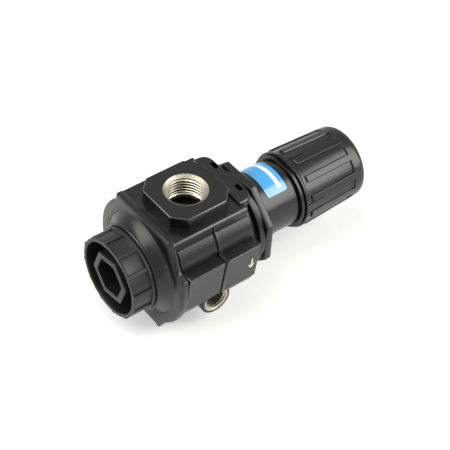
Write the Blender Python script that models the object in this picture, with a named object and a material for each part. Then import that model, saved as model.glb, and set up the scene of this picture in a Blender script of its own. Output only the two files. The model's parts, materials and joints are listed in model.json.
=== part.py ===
"""Air pressure regulator, lying with its adjusting knob along +X.

The two threaded ports face +Z and -Z, the gauge ports face -Y and +Y, the bottom plug
faces -X and the knob +X. Every size below is in metres, measured from the point where the
knob's axis crosses the ports' axis. The finished model is shifted so that the middle of its
lowest face is the origin.
"""

import math

import bmesh
import bpy
from mathutils import Matrix, Vector

MM = 0.001
FIT = 0.3 * MM
OVERSHOOT = 2.0 * MM
WELD_DISTANCE = 0.003 * MM

# Cast body
PORT_FACE = 35.5 * MM
PAD_HALF = 18.0 * MM
PAD_CORNER = 6.6 * MM
LOW_PAD_HALF_WIDTH = 9.5 * MM
LOW_PAD_CORNER = 2.4 * MM
LOW_PAD_ROUND = 13.5 * MM
LOW_PAD_ROOT = 0.8
BLOCK_TOP = 29.2 * MM
BLOCK_INSET = 7.6 * MM
BODY_LEFT = -22.4 * MM
BODY_RIGHT = 22.0 * MM
BARREL_RADIUS = 30.5 * MM
CAST_EDGE = 1.1 * MM
PAD_EDGE = 0.5 * MM

# Side pads, which carry the gauge ports' faces
SIDE_LEDGE_Z = 12.8 * MM
SIDE_FOOT_Z = 11.4 * MM
SIDE_LEDGE_RISE = 4.1 * MM
SIDE_FOOT_RISE = 1.1 * MM

# End plate and nose at the plug end
PLATE_THICKNESS = 4.6 * MM
PLATE_TOP = 30.9 * MM
PLATE_HALF_WIDTH = 22.0 * MM
PLATE_STEP_RISE = 1.5 * MM
PLATE_SIDE_RISE = 2.5 * MM
PLATE_FOOT_HALF_WIDTH = 15.5 * MM
PLATE_EDGE = 1.2 * MM
PLATE_STEP_LEAN = math.radians(3)
PLATE_ROUND_START = 188
PLATE_ROUND_END = 231
NOSE_ROOT_SINK = 2.3 * MM
NOSE_TIP_RADIUS = 23.6 * MM
NOSE_LENGTH = 6.4 * MM
COVE_RADIUS = 1.8 * MM

# Raised tab with its pocket at the bonnet end
TAB_LEFT = 19.0 * MM
TAB_RIGHT = 27.6 * MM
TAB_HALF_WIDTH = 19.3 * MM
TAB_CORNER = 5.5 * MM
TAB_RISE = 1.5 * MM
TAB_DEPTH = 5.5 * MM
POCKET_LENGTH = 3.6 * MM
POCKET_WIDTH = 4.8 * MM
POCKET_DEPTH = 3.6 * MM
POCKET_OFFSET = 10.0 * MM

# Ports and passages
PORT_BORE_RADIUS = 9.4 * MM
PORT_MOUTH_RADIUS = 11.5 * MM
PORT_CHAMFER = 2.1 * MM
PORT_DEPTH = 16.3 * MM
PASSAGE_RADIUS = 5.6 * MM
PASSAGE_OFFSET = 9.6 * MM
GAUGE_Z = -19.6 * MM
GAUGE_SINK = 2.1 * MM
GAUGE_BOSS_RADIUS = 8.9 * MM
GAUGE_BORE_RADIUS = 5.9 * MM
GAUGE_MOUTH_RADIUS = 7.4 * MM
GAUGE_CHAMFER = 1.5 * MM

# Chambers along the knob's axis
PLUG_BORE_RADIUS = 19.0 * MM
PLUG_BORE_DEPTH = 10.0 * MM
VALVE_CHAMBER_RADIUS = 16.6 * MM
SEAT_WALL_LEFT = -4.2 * MM
SEAT_WALL_RIGHT = 1.6 * MM
SEAT_HOLE_RADIUS = 7.4 * MM
OUTLET_CHAMBER_RADIUS = 14.0 * MM
DIAPHRAGM_LEDGE = 17.6 * MM
BONNET_BORE_RADIUS = 24.8 * MM

# Bottom plug
PLUG_END = -46.4 * MM
PLUG_RIM_RADIUS = 21.8 * MM
PLUG_WALL = 1.5 * MM
PLUG_PANEL_SINK = 0.5 * MM
PLUG_RIBS = 12
PLUG_RIB_WIDTH = 2.3 * MM
PLUG_RIB_RISE = 0.8 * MM
PLUG_RIM_BAND = 0.8 * MM
PLUG_LIP_LENGTH = 1.9 * MM
PLUG_FLOOR = 2.0 * MM
PLUG_HEX_FLATS = 24.8 * MM
PLUG_HEX_SINK = 0.5 * MM
PLUG_SOCKET_FLATS = 18.6 * MM
PLUG_SOCKET_DEPTH = 8.4 * MM
PLUG_HEX_TURN = math.radians(-10.0)
PLUG_SPIGOT_LENGTH = 9.2 * MM
POST_RADIUS = 7.0 * MM
POST_LENGTH = 5.6 * MM
SEAL_SECTION = 2.0 * MM
SEAL_GROOVE_SINK = 1.6 * MM
SEAL_GROOVE_PLACE = 4.0 * MM

# Filter element
FILTER_OUTER_RADIUS = 15.4 * MM
FILTER_WALL = 2.4 * MM

# Valve
SEAT_LIP_RADIUS = 5.2 * MM
SEAT_LIP_RISE = 1.0 * MM
POPPET_RADIUS = 8.0 * MM
POPPET_HEAD = 4.0 * MM
VALVE_DISC_THICKNESS = 1.5 * MM
POPPET_PIN_RADIUS = 1.5 * MM
POPPET_TAIL_RADIUS = 3.0 * MM
POPPET_TAIL_DEPTH = 6.6 * MM
TAIL_SEAL_SECTION = 1.0 * MM
VALVE_WIRE = 1.0 * MM
VALVE_COIL_RADIUS = 4.8 * MM
VALVE_TURNS = 5
VALVE_TRAVEL = 1.8 * MM

# Diaphragm and its plates
DIAPHRAGM_THICKNESS = 1.2 * MM
PLATE_DISC = 1.4 * MM
LOWER_PLATE_RADIUS = 10.5 * MM
RELIEF_BOSS_RADIUS = 3.2 * MM
RELIEF_BOSS_LENGTH = 1.6 * MM
SPRING_SEAT_CLEARANCE = 1.6 * MM
SPRING_SEAT_THICKNESS = 1.6 * MM
SPRING_PILOT_RADIUS = 8.0 * MM
SPRING_PILOT_LENGTH = 2.4 * MM

# Bonnet
WAIST_RADIUS = 24.2 * MM
COLLAR_LEFT = 28.4 * MM
COLLAR_RADIUS = 26.9 * MM
OCTAGON_LEFT = 32.2 * MM
OCTAGON_RIGHT = 36.1 * MM
OCTAGON_FLATS = 54.3 * MM
NECK_RADIUS = 18.4 * MM
NECK_FILLET = 2.0 * MM
NECK_WALL = 3.6 * MM
NECK_STEP = 61.5 * MM
NECK_STEP_DEPTH = 1.0 * MM
BONNET_END = 78.0 * MM
BONNET_ROOF = 5.0 * MM
KEYWAY_WIDTH = 4.0 * MM
KEYWAY_DEPTH = 1.8 * MM

# Ring with two flats between the neck and the knob
RING_RISE = 2.0 * MM
RING_FLAT_RISE = 0.5 * MM

# Screw, nut and range spring
SCREW_RADIUS = 4.0 * MM
SCREW_PITCH = 1.5 * MM
SCREW_TURNS = 5
SCREW_SPARE = 4.5 * MM
THRUST_RADIUS = 9.0 * MM
THRUST_THICKNESS = 2.0 * MM
WASHER_THICKNESS = 1.0 * MM
SHANK_RADIUS = 5.0 * MM
DRIVE_FLATS = 9.0 * MM
DRIVE_LENGTH = 15.6 * MM
NUT_THICKNESS = 8.0 * MM
NUT_LEFT = 59.0 * MM
RANGE_WIRE = 2.8 * MM
RANGE_COIL_CLEARANCE = 2.8 * MM
RANGE_TURNS = 6

# Knob
KNOB_LEFT = 64.2 * MM
KNOB_CLEARANCE = 1.5 * MM
KNOB_TAPER = 1.5 * MM
KNOB_SHOULDER = 103.0 * MM
KNOB_END = 107.6 * MM
KNOB_DOME_WIDTH = 4.9 * MM
KNOB_WALL = 2.2 * MM
KNOB_CAVITY_END = 96.2 * MM
KNOB_BARS = 12
KNOB_BAR_WIDTH = 3.6 * MM
KNOB_BAR_RISE = 0.9 * MM
KNOB_BAR_LEFT = 68.2 * MM
KNOB_PANEL_END = 98.4 * MM
KNOB_BAR_TURN = math.radians(10.5)
KNOB_RIM_RISE = 0.5 * MM
KNOB_RIM_LENGTH = 1.2 * MM
KNOB_PULL = 3.0 * MM
HUB_RADIUS = 8.2 * MM
HUB_LEFT = 79.6 * MM
HUB_SHOULDER = 90.0 * MM
CLIP_RADIUS = 6.0 * MM
CLIP_THICKNESS = 1.0 * MM
CLIP_GROOVE_RADIUS = 3.4 * MM
CAP_INSET = 3.2 * MM
CAP_SINK = 2.2 * MM
CAP_RISE = 1.2 * MM
CAP_TEETH = 20
CAP_TOOTH_DEPTH = 0.8 * MM

# Label
LABEL_LEFT = 44.4 * MM
LABEL_RIGHT = 57.2 * MM
LABEL_THICKNESS = 0.3 * MM
LABEL_START = math.radians(49.5)
LABEL_SWEEP = math.radians(131.0)

# Rear gauge plug
GAUGE_PLUG_LENGTH = 8.0 * MM
GAUGE_PLUG_SOCKET = 6.0 * MM
GAUGE_PLUG_SINK = 1.2 * MM

# Steps round a turned body: a wide one, a bore, a small one and a seal's section
ROUND = 48
BORE_ROUND = 40
SMALL_ROUND = 24
SEAL_SIDES = 6
VALVE_COIL_SIDES = 12
RANGE_COIL_SIDES = 14

# Places worked out from the sizes above
BLOCK_HALF_WIDTH = BARREL_RADIUS - BLOCK_INSET
SIDE_LEDGE_REACH = BARREL_RADIUS + SIDE_LEDGE_RISE
SIDE_FOOT_REACH = BARREL_RADIUS + SIDE_FOOT_RISE
GAUGE_FACE = BARREL_RADIUS - GAUGE_SINK
PLATE_LEFT = BODY_LEFT - PLATE_THICKNESS
PLATE_SIDE = BARREL_RADIUS + PLATE_SIDE_RISE
PLATE_FOOT = PORT_FACE - FIT
NOSE_ROOT_RADIUS = BARREL_RADIUS - NOSE_ROOT_SINK
NOSE_END = PLATE_LEFT - NOSE_LENGTH
PLUG_SHOULDER = NOSE_END - FIT
PLUG_BORE_END = NOSE_END + PLUG_BORE_DEPTH
SPIGOT_END = PLUG_SHOULDER + PLUG_SPIGOT_LENGTH
POST_END = SPIGOT_END + POST_LENGTH
SPIGOT_RADIUS = PLUG_BORE_RADIUS - FIT
SEAT_FACE = SEAT_WALL_LEFT - SEAT_LIP_RISE
DISC_RIGHT = SEAT_FACE - FIT
DISC_LEFT = DISC_RIGHT - VALVE_DISC_THICKNESS
HEAD_RIGHT = DISC_LEFT - FIT
HEAD_LEFT = HEAD_RIGHT - POPPET_HEAD
TAIL_END = POST_END - POPPET_TAIL_DEPTH
DIAPHRAGM_LEFT = DIAPHRAGM_LEDGE + FIT
DIAPHRAGM_RIGHT = DIAPHRAGM_LEFT + DIAPHRAGM_THICKNESS
BONNET_LEFT = DIAPHRAGM_RIGHT + FIT
LOWER_PLATE_RIGHT = DIAPHRAGM_LEFT - FIT
LOWER_PLATE_LEFT = LOWER_PLATE_RIGHT - PLATE_DISC
RELIEF_FACE = LOWER_PLATE_LEFT - RELIEF_BOSS_LENGTH
SPRING_SEAT_LEFT = DIAPHRAGM_RIGHT + FIT
SPRING_SEAT_RIGHT = SPRING_SEAT_LEFT + SPRING_SEAT_THICKNESS
SPRING_CHAMBER_RADIUS = NECK_RADIUS - NECK_WALL
SPRING_SEAT_RADIUS = SPRING_CHAMBER_RADIUS - SPRING_SEAT_CLEARANCE
RANGE_COIL_RADIUS = SPRING_CHAMBER_RADIUS - RANGE_COIL_CLEARANCE - RANGE_WIRE / 2
NECK_INNER_RADIUS = NECK_RADIUS - NECK_STEP_DEPTH
SCREW_END = NUT_LEFT - SCREW_PITCH * SCREW_TURNS - SCREW_SPARE
BONNET_ROOF_LEFT = BONNET_END - BONNET_ROOF
WASHER_LEFT = BONNET_ROOF_LEFT - FIT - WASHER_THICKNESS
THRUST_RIGHT = WASHER_LEFT - FIT
THRUST_LEFT = THRUST_RIGHT - THRUST_THICKNESS
SHANK_END = BONNET_END + FIT
CLIP_LEFT = HUB_SHOULDER + KNOB_PULL + FIT
CLIP_RIGHT = CLIP_LEFT + CLIP_THICKNESS
SCREW_TIP = SHANK_END + DRIVE_LENGTH
RING_LEFT = NECK_STEP + FIT
RING_RIGHT = KNOB_LEFT - FIT
KNOB_PANEL_RADIUS = NECK_INNER_RADIUS + KNOB_CLEARANCE + KNOB_WALL
CAP_SEAT = KNOB_END - CAP_SINK
CAP_END = CAP_SEAT + FIT + CAP_SINK + CAP_RISE
TAB_TOP = BLOCK_TOP + TAB_RISE
ORIGIN = Vector(((PLUG_END + CAP_END) / 2, 0.0, -PORT_FACE))

FINISHES = {
    "cast_paint": ((0.018, 0.018, 0.019), 0.42, 0.0),
    "moulded_black": ((0.02, 0.02, 0.022), 0.38, 0.0),
    "steel": ((0.55, 0.55, 0.56), 0.35, 1.0),
    "brass": ((0.72, 0.5, 0.2), 0.35, 1.0),
    "rubber": ((0.03, 0.03, 0.03), 0.7, 0.0),
    "sintered": ((0.85, 0.84, 0.8), 0.8, 0.0),
    "label_blue": ((0.07, 0.48, 1.0), 0.4, 0.0),
}


def clear_scene():
    """Remove every object that the start-up file brings."""
    for old in list(bpy.data.objects):
        bpy.data.objects.remove(old, do_unlink=True)


def finish_material(node, finish):
    """Make one object's own Principled material."""
    colour, roughness, metallic = FINISHES[finish]
    material = bpy.data.materials.new(node + "_" + finish)
    material.use_nodes = True
    shader = material.node_tree.nodes["Principled BSDF"]
    shader.inputs["Base Color"].default_value = (*colour, 1.0)
    shader.inputs["Roughness"].default_value = roughness
    shader.inputs["Metallic"].default_value = metallic
    return material


def add_object(name, shape, finish=None):
    """Turn a bmesh into an object, shaded smooth except at its sharp edges."""
    bmesh.ops.recalc_face_normals(shape, faces=shape.faces)
    mesh = bpy.data.meshes.new(name)
    shape.to_mesh(mesh)
    shape.free()
    mesh.shade_smooth()
    mesh.set_sharp_from_angle(angle=math.radians(35))
    item = bpy.data.objects.new(name, mesh)
    bpy.context.collection.objects.link(item)
    if finish:
        mesh.materials.append(finish_material(name, finish))
        item.parent = reference
    return item


def helper(item):
    """Mark an object as a cutting or joining tool that isn't part of the model."""
    item.hide_render = True
    item.display_type = "WIRE"
    item.parent = reference
    return item


def combine(target, tool, operation):
    """Cut a tool out of the target, or join it on, with an exact Boolean."""
    modifier = target.modifiers.new(tool.name, "BOOLEAN")
    modifier.operation = operation
    modifier.object = helper(tool)
    modifier.solver = "EXACT"
    weld = target.modifiers.new("weld", "WELD")
    weld.merge_threshold = WELD_DISTANCE


def cut(target, tool):
    """Take a tool's shape out of the target."""
    combine(target, tool, "DIFFERENCE")


def join(target, tool):
    """Grow a tool's shape onto the target."""
    combine(target, tool, "UNION")


def corner_arc(centre, radius, start, stop, steps):
    """Points of an arc between two angles in degrees, both ends included."""
    turns = [math.radians(start + (stop - start) * index / steps) for index in range(steps + 1)]
    return [(centre[0] + radius * math.cos(turn), centre[1] + radius * math.sin(turn)) for turn in turns]


def round_edges(item, width, segments=2, angle=40):
    """Round the edges that are sharper than the angle."""
    modifier = item.modifiers.new("rounding", "BEVEL")
    modifier.width = width
    modifier.segments = segments
    modifier.limit_method = "ANGLE"
    modifier.angle_limit = math.radians(angle)


def turned_shape(profile, steps=ROUND):
    """Spin a profile of (x, radius) points about the X axis into one closed body.

    A profile that starts and ends on the axis is left open there; any other is a ring.
    """
    shape = bmesh.new()
    points = [shape.verts.new((x, 0.0, radius)) for x, radius in profile]
    edges = [shape.edges.new(pair) for pair in zip(points, points[1:])]
    solid = profile[0][1] == 0.0 and profile[-1][1] == 0.0
    if not solid:
        edges.append(shape.edges.new((points[-1], points[0])))
    bmesh.ops.spin(shape, geom=points + edges, cent=(0, 0, 0), axis=(1, 0, 0),
                   angle=math.tau, steps=steps, use_merge=True)
    bmesh.ops.remove_doubles(shape, verts=shape.verts, dist=0.001 * MM)
    return shape


def turned(name, profile, finish=None, steps=ROUND):
    """Add a body turned about the X axis."""
    return add_object(name, turned_shape(profile, steps), finish)


def drum(name, left, right, radius, finish=None, steps=ROUND):
    """Add a plain cylinder along X."""
    profile = [(left, 0.0), (left, radius), (right, radius), (right, 0.0)]
    return turned(name, profile, finish, steps)


def ring(name, left, right, inner, outer, finish=None, steps=ROUND):
    """Add a plain ring about X."""
    profile = [(left, inner), (left, outer), (right, outer), (right, inner)]
    return turned(name, profile, finish, steps)


def extruded(name, outline, reach, finish=None):
    """Extrude a closed outline of 3-D points along a vector."""
    shape = bmesh.new()
    face = shape.faces.new([shape.verts.new(point) for point in outline])
    grown = bmesh.ops.extrude_face_region(shape, geom=[face])["geom"]
    moved = [part for part in grown if isinstance(part, bmesh.types.BMVert)]
    bmesh.ops.translate(shape, verts=moved, vec=reach)
    return add_object(name, shape, finish)


def block(name, low, high, finish=None):
    """Add a box between two corners."""
    outline = [(low[0], low[1], low[2]), (high[0], low[1], low[2]),
               (high[0], high[1], low[2]), (low[0], high[1], low[2])]
    return extruded(name, outline, (0, 0, high[2] - low[2]), finish)


def polygon(sides, across_flats, turn=0.0):
    """Corners (y, z) of a regular polygon given by its size across flats."""
    corner = across_flats / 2 / math.cos(math.pi / sides)
    angles = [turn + math.tau * index / sides for index in range(sides)]
    return [(corner * math.cos(angle), corner * math.sin(angle)) for angle in angles]


def prism_x(name, outline, left, right, finish=None):
    """Extrude an outline of (y, z) points along X."""
    return extruded(name, [(left, y, z) for y, z in outline], (right - left, 0, 0), finish)


def turn_tool(item, axis, place=(0, 0, 0)):
    """Point a tool that was turned about X along another axis, through a place."""
    facing = Vector((1, 0, 0)).rotation_difference(Vector(axis)).to_matrix().to_4x4()
    item.data.transform(Matrix.Translation(place) @ facing)
    return item


def coil(name, left, right, radius, wire, turns, finish, sides):
    """Add a round-wire compression spring about X with closed ends."""
    curve = bpy.data.curves.new(name, "CURVE")
    curve.dimensions = "3D"
    curve.bevel_depth = wire / 2
    curve.bevel_resolution = 1
    curve.use_fill_caps = True
    count = turns * sides + 1
    spline = curve.splines.new("POLY")
    spline.points.add(count - 1)
    start = left + wire / 2
    travel = right - left - wire
    for index in range(count):
        share = index / (count - 1)
        angle = math.tau * turns * share
        x = start + travel * share
        spline.points[index].co = (x, radius * math.cos(angle), radius * math.sin(angle), 1.0)
    item = bpy.data.objects.new(name, curve)
    bpy.context.collection.objects.link(item)
    curve.materials.append(finish_material(name, finish))
    item.parent = reference
    return item


def around(count, turn=0.0):
    """Angles evenly spaced round the X axis."""
    return [turn + math.tau * index / count for index in range(count)]


def bar_at(name, left, right, inner, outer_left, outer_right, width, angle):
    """A bar along X at an angle round the axis, whose top may slope."""
    outline = [(left, -width / 2, inner), (right, -width / 2, inner),
               (right, -width / 2, outer_right), (left, -width / 2, outer_left)]
    item = extruded(name, outline, (0, width, 0))
    item.data.transform(Matrix.Rotation(angle, 4, "X"))
    return item


def merged(name, items):
    """Merge loose tool meshes into one tool."""
    shape = bmesh.new()
    for item in items:
        shape.from_mesh(item.data)
        bpy.data.objects.remove(item, do_unlink=True)
    return add_object(name, shape)


def top_pad_tool():
    """The square port pad on the top, with chamfered corners."""
    near = PAD_HALF
    far = PAD_HALF - PAD_CORNER
    corners = [(near, -far), (near, far), (far, near), (-far, near),
               (-near, far), (-near, -far), (-far, -near), (far, -near)]
    foot = BLOCK_TOP - OVERSHOOT
    pad = extruded("top_pad_tool", [(x, y, foot) for x, y in corners], (0, 0, PORT_FACE - foot))
    round_edges(pad, PAD_EDGE, 1)
    return pad


def low_pad_tool():
    """The narrow port pad on the bottom: a round boss between two ears."""
    near = PAD_HALF
    side = LOW_PAD_HALF_WIDTH
    turn = math.degrees(math.asin(side / LOW_PAD_ROUND))
    ear = [(near, -side + LOW_PAD_CORNER), (near, side - LOW_PAD_CORNER),
           (near - LOW_PAD_CORNER, side)]
    half = ear + corner_arc((0, 0), LOW_PAD_ROUND, turn, 180 - turn, 8)
    half.append((LOW_PAD_CORNER - near, side))
    corners = half + [(-x, -y) for x, y in half]
    foot = -BARREL_RADIUS * LOW_PAD_ROOT
    pad = extruded("low_pad_tool", [(x, y, foot) for x, y in corners], (0, 0, -PORT_FACE - foot))
    round_edges(pad, PAD_EDGE, 1)
    return pad


def side_pad_tool(name, side):
    """A side pad with a ledge above and a nearly flush lower edge."""
    inside = BARREL_RADIUS / 2
    outline = [(side * inside, SIDE_LEDGE_Z), (side * SIDE_LEDGE_REACH, SIDE_LEDGE_Z),
               (side * SIDE_FOOT_REACH, -SIDE_FOOT_Z), (side * inside, -SIDE_FOOT_Z)]
    pad = prism_x(name, outline, BODY_LEFT - OVERSHOOT, BODY_RIGHT)
    round_edges(pad, CAST_EDGE / 2, 1)
    return pad


def plate_outline():
    """The plate's corners (y, z): stepped like the body at -Y, round at +Y, with a flat foot."""
    step_radius = BARREL_RADIUS + PLATE_STEP_RISE
    step_turn = math.asin(SIDE_LEDGE_Z / step_radius) + PLATE_STEP_LEAN
    top_corner = BLOCK_TOP - 2 * CAST_EDGE
    near = [(-PLATE_HALF_WIDTH, PLATE_TOP), (-PLATE_HALF_WIDTH - CAST_EDGE / 2, top_corner),
            (-step_radius * math.cos(step_turn), step_radius * math.sin(step_turn)),
            (-PLATE_SIDE, SIDE_LEDGE_Z)]
    near += corner_arc((0, 0), PLATE_SIDE, PLATE_ROUND_START, PLATE_ROUND_END, 4)
    foot = [(-PLATE_FOOT_HALF_WIDTH, -PLATE_FOOT), (PLATE_FOOT_HALF_WIDTH, -PLATE_FOOT)]
    foot_turn = math.degrees(math.acos(PLATE_FOOT_HALF_WIDTH / SIDE_LEDGE_REACH))
    top_turn = math.degrees(math.acos(PLATE_HALF_WIDTH / SIDE_LEDGE_REACH))
    far = corner_arc((0, 0), SIDE_LEDGE_REACH, -foot_turn, top_turn, 12)
    return near + foot + far + [(PLATE_HALF_WIDTH, PLATE_TOP)]


def end_plate_tool():
    """The plate between the body and the nose."""
    plate = prism_x("end_plate_tool", plate_outline(), PLATE_LEFT, BODY_LEFT)
    round_edges(plate, PLATE_EDGE, 2, 25)
    return plate


def tab_tool():
    """The raised tab at the bonnet end, round at its two outer corners."""
    centre = (TAB_RIGHT - TAB_CORNER, TAB_HALF_WIDTH - TAB_CORNER)
    high = corner_arc(centre, TAB_CORNER, 90, 0, 4)
    low = [(x, -y) for x, y in reversed(high)]
    outline = [(TAB_LEFT, TAB_HALF_WIDTH)] + high + low + [(TAB_LEFT, -TAB_HALF_WIDTH)]
    foot = TAB_TOP - TAB_DEPTH
    tab = extruded("tab_tool", [(x, y, foot) for x, y in outline], (0, 0, TAB_DEPTH))
    round_edges(tab, PAD_EDGE, 1)
    return tab


def nose_profile():
    """Profile of the nose and of the barrel behind it, as one turned body."""
    root = PLATE_LEFT
    arc = [math.radians(90 * index / 4) for index in range(5)]
    cove = [(root - COVE_RADIUS * (1 - math.sin(turn)),
             NOSE_ROOT_RADIUS + COVE_RADIUS * (1 - math.cos(turn))) for turn in arc]
    return ([(NOSE_END, 0.0), (NOSE_END, NOSE_TIP_RADIUS)] + cove
            + [(root + CAST_EDGE, BARREL_RADIUS - CAST_EDGE / 2),
               (BODY_RIGHT, BARREL_RADIUS), (BODY_RIGHT, 0.0)])


def port_tool(name, side):
    """The threaded port's bore with its wide chamfer, facing +Z or -Z."""
    mouth = PORT_FACE + OVERSHOOT
    floor = PORT_FACE - PORT_DEPTH
    lip = PORT_FACE - PORT_CHAMFER
    slope = (PORT_MOUTH_RADIUS - PORT_BORE_RADIUS) / PORT_CHAMFER
    profile = [(floor, 0.0), (floor, PORT_BORE_RADIUS), (lip, PORT_BORE_RADIUS),
               (mouth, PORT_MOUTH_RADIUS + OVERSHOOT * slope), (mouth, 0.0)]
    return turn_tool(turned(name, profile, steps=BORE_ROUND), (0, 0, side))


def gauge_tool(name, side):
    """The gauge port's bore with its chamfer, facing -Y or +Y, open to the outlet port."""
    inner = PORT_BORE_RADIUS - FIT
    mouth = GAUGE_FACE + OVERSHOOT
    slope = (GAUGE_MOUTH_RADIUS - GAUGE_BORE_RADIUS) / GAUGE_CHAMFER
    profile = [(inner - OVERSHOOT, 0.0), (inner - OVERSHOOT, GAUGE_BORE_RADIUS),
               (GAUGE_FACE - GAUGE_CHAMFER, GAUGE_BORE_RADIUS),
               (mouth, GAUGE_MOUTH_RADIUS + OVERSHOOT * slope), (mouth, 0.0)]
    return turn_tool(turned(name, profile, steps=SMALL_ROUND), (0, side, 0), (0, 0, GAUGE_Z))


def chamber_profile():
    """The stepped bore through the body, from the plug's mouth to the bonnet's seat."""
    return [(NOSE_END - OVERSHOOT, 0.0), (NOSE_END - OVERSHOOT, PLUG_BORE_RADIUS),
            (PLUG_BORE_END, PLUG_BORE_RADIUS), (PLUG_BORE_END, VALVE_CHAMBER_RADIUS),
            (SEAT_WALL_LEFT, VALVE_CHAMBER_RADIUS), (SEAT_WALL_LEFT, SEAT_HOLE_RADIUS),
            (SEAT_WALL_RIGHT, SEAT_HOLE_RADIUS), (SEAT_WALL_RIGHT, OUTLET_CHAMBER_RADIUS),
            (DIAPHRAGM_LEDGE, OUTLET_CHAMBER_RADIUS), (DIAPHRAGM_LEDGE, BONNET_BORE_RADIUS),
            (BODY_RIGHT + OVERSHOOT, BONNET_BORE_RADIUS), (BODY_RIGHT + OVERSHOOT, 0.0)]


def make_body():
    """The casting: barrel, blocks, pads, plate and nose, then its bores and passages."""
    body = turned("body", nose_profile(), "cast_paint")
    top_block = block("block_tool", (BODY_LEFT - OVERSHOOT, -BLOCK_HALF_WIDTH, 0),
                      (BODY_RIGHT - FIT, BLOCK_HALF_WIDTH, BLOCK_TOP))
    round_edges(top_block, CAST_EDGE)
    join(body, top_block)
    join(body, top_pad_tool())
    join(body, low_pad_tool())
    join(body, end_plate_tool())
    for side in (-1, 1):
        suffix = "_low" if side < 0 else "_high"
        join(body, side_pad_tool("side_pad_tool" + suffix, side))
        boss = drum("boss_tool" + suffix, 0.0, GAUGE_FACE, GAUGE_BOSS_RADIUS, steps=SMALL_ROUND)
        join(body, turn_tool(boss, (0, side, 0), (0, 0, GAUGE_Z)))
    join(body, tab_tool())
    cut(body, turned("chamber_tool", chamber_profile()))
    for side in (-1, 1):
        suffix = "_low" if side < 0 else "_high"
        near = side * POCKET_OFFSET - POCKET_WIDTH / 2
        pocket = block("pocket_tool" + suffix, (TAB_RIGHT - POCKET_LENGTH, near, TAB_TOP - POCKET_DEPTH),
                       (TAB_RIGHT - CAST_EDGE, near + POCKET_WIDTH, TAB_TOP + OVERSHOOT))
        cut(body, pocket)
        cut(body, port_tool("port_tool" + suffix, side))
        cut(body, gauge_tool("gauge_tool" + suffix, side))
        passage = drum("passage_tool" + suffix, OUTLET_CHAMBER_RADIUS / 2,
                       PORT_FACE - PORT_DEPTH + OVERSHOOT, PASSAGE_RADIUS, steps=SMALL_ROUND)
        cut(body, turn_tool(passage, (0, 0, side), (-side * PASSAGE_OFFSET, 0, 0)))
    return body


def make_rear_gauge_plug():
    """A hexagon-socket plug in the gauge port that faces +Y."""
    outer = GAUGE_FACE - GAUGE_CHAMFER - GAUGE_PLUG_SINK
    plug = drum("rear_gauge_plug", outer - GAUGE_PLUG_LENGTH, outer, GAUGE_BORE_RADIUS - FIT,
                "steel", SMALL_ROUND)
    socket = prism_x("gauge_socket_tool", polygon(6, GAUGE_PLUG_SOCKET), outer - GAUGE_PLUG_LENGTH / 2,
                     outer + OVERSHOOT)
    for item in (plug, socket):
        turn_tool(item, (0, 1, 0), (0, 0, GAUGE_Z))
    cut(plug, socket)
    return plug


def make_bottom_plug():
    """The moulded plug: ribbed ring, hexagonal tube with a socket, spigot and guide post."""
    panel = PLUG_RIM_RADIUS - PLUG_PANEL_SINK
    inner = panel - PLUG_WALL
    ridge = PLUG_RIM_RADIUS + PLUG_RIB_RISE
    band = PLUG_END + PLUG_RIM_BAND
    hex_face = PLUG_END + PLUG_HEX_SINK
    lip = PLUG_SHOULDER - PLUG_LIP_LENGTH
    floor = PLUG_SHOULDER - PLUG_FLOOR
    groove_left = PLUG_SHOULDER + SEAL_GROOVE_PLACE
    groove_right = groove_left + SEAL_SECTION + FIT
    groove = SPIGOT_RADIUS - SEAL_GROOVE_SINK
    post_bore = POPPET_TAIL_RADIUS + FIT
    post_floor = TAIL_END - VALVE_TRAVEL - 2 * FIT
    profile = [(floor, 0.0), (floor, inner), (PLUG_END, inner), (PLUG_END, PLUG_RIM_RADIUS),
               (band, PLUG_RIM_RADIUS), (band, panel), (lip, panel), (lip, ridge),
               (PLUG_SHOULDER, ridge), (PLUG_SHOULDER, SPIGOT_RADIUS),
               (groove_left, SPIGOT_RADIUS), (groove_left, groove), (groove_right, groove),
               (groove_right, SPIGOT_RADIUS), (SPIGOT_END, SPIGOT_RADIUS), (SPIGOT_END, POST_RADIUS),
               (POST_END, POST_RADIUS), (POST_END, post_bore), (post_floor, post_bore), (post_floor, 0.0)]
    plug = turned("bottom_plug", profile, "moulded_black")
    ribs = [bar_at("rib", band - PLUG_RIM_BAND / 2, lip + PLUG_LIP_LENGTH / 2, panel - PLUG_WALL / 2,
                   ridge - FIT, ridge - FIT, PLUG_RIB_WIDTH, angle)
            for angle in around(PLUG_RIBS, PLUG_HEX_TURN)]
    join(plug, merged("rib_tool", ribs))
    join(plug, prism_x("hex_tool", polygon(6, PLUG_HEX_FLATS, PLUG_HEX_TURN), hex_face, floor + FIT))
    cut(plug, prism_x("socket_tool", polygon(6, PLUG_SOCKET_FLATS, PLUG_HEX_TURN), PLUG_END - OVERSHOOT,
                      PLUG_END + PLUG_SOCKET_DEPTH))
    return plug


def make_seals_and_filter():
    """The plug's O-ring and the filter element that sits between plug and seat wall."""
    groove_left = PLUG_SHOULDER + SEAL_GROOVE_PLACE
    inner = SPIGOT_RADIUS - SEAL_GROOVE_SINK + FIT
    outer = PLUG_BORE_RADIUS - FIT
    centre = groove_left + FIT / 2 + SEAL_SECTION / 2
    half = SEAL_SECTION / 2 - FIT / 2
    o_ring("bottom_plug_seal", centre, inner, outer, half, ROUND)
    ring("filter_element", SPIGOT_END + FIT, SEAT_WALL_LEFT - FIT, FILTER_OUTER_RADIUS - FILTER_WALL,
         FILTER_OUTER_RADIUS, "sintered", BORE_ROUND)


def o_ring(name, centre, inner, outer, half_width, steps):
    """A rubber ring of rounded section about X."""
    middle = (inner + outer) / 2
    half_height = (outer - inner) / 2
    section = [(centre + half_width * math.cos(angle), middle + half_height * math.sin(angle))
               for angle in around(SEAL_SIDES, math.pi / SEAL_SIDES)]
    return turned(name, section, "rubber", steps)


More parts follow.
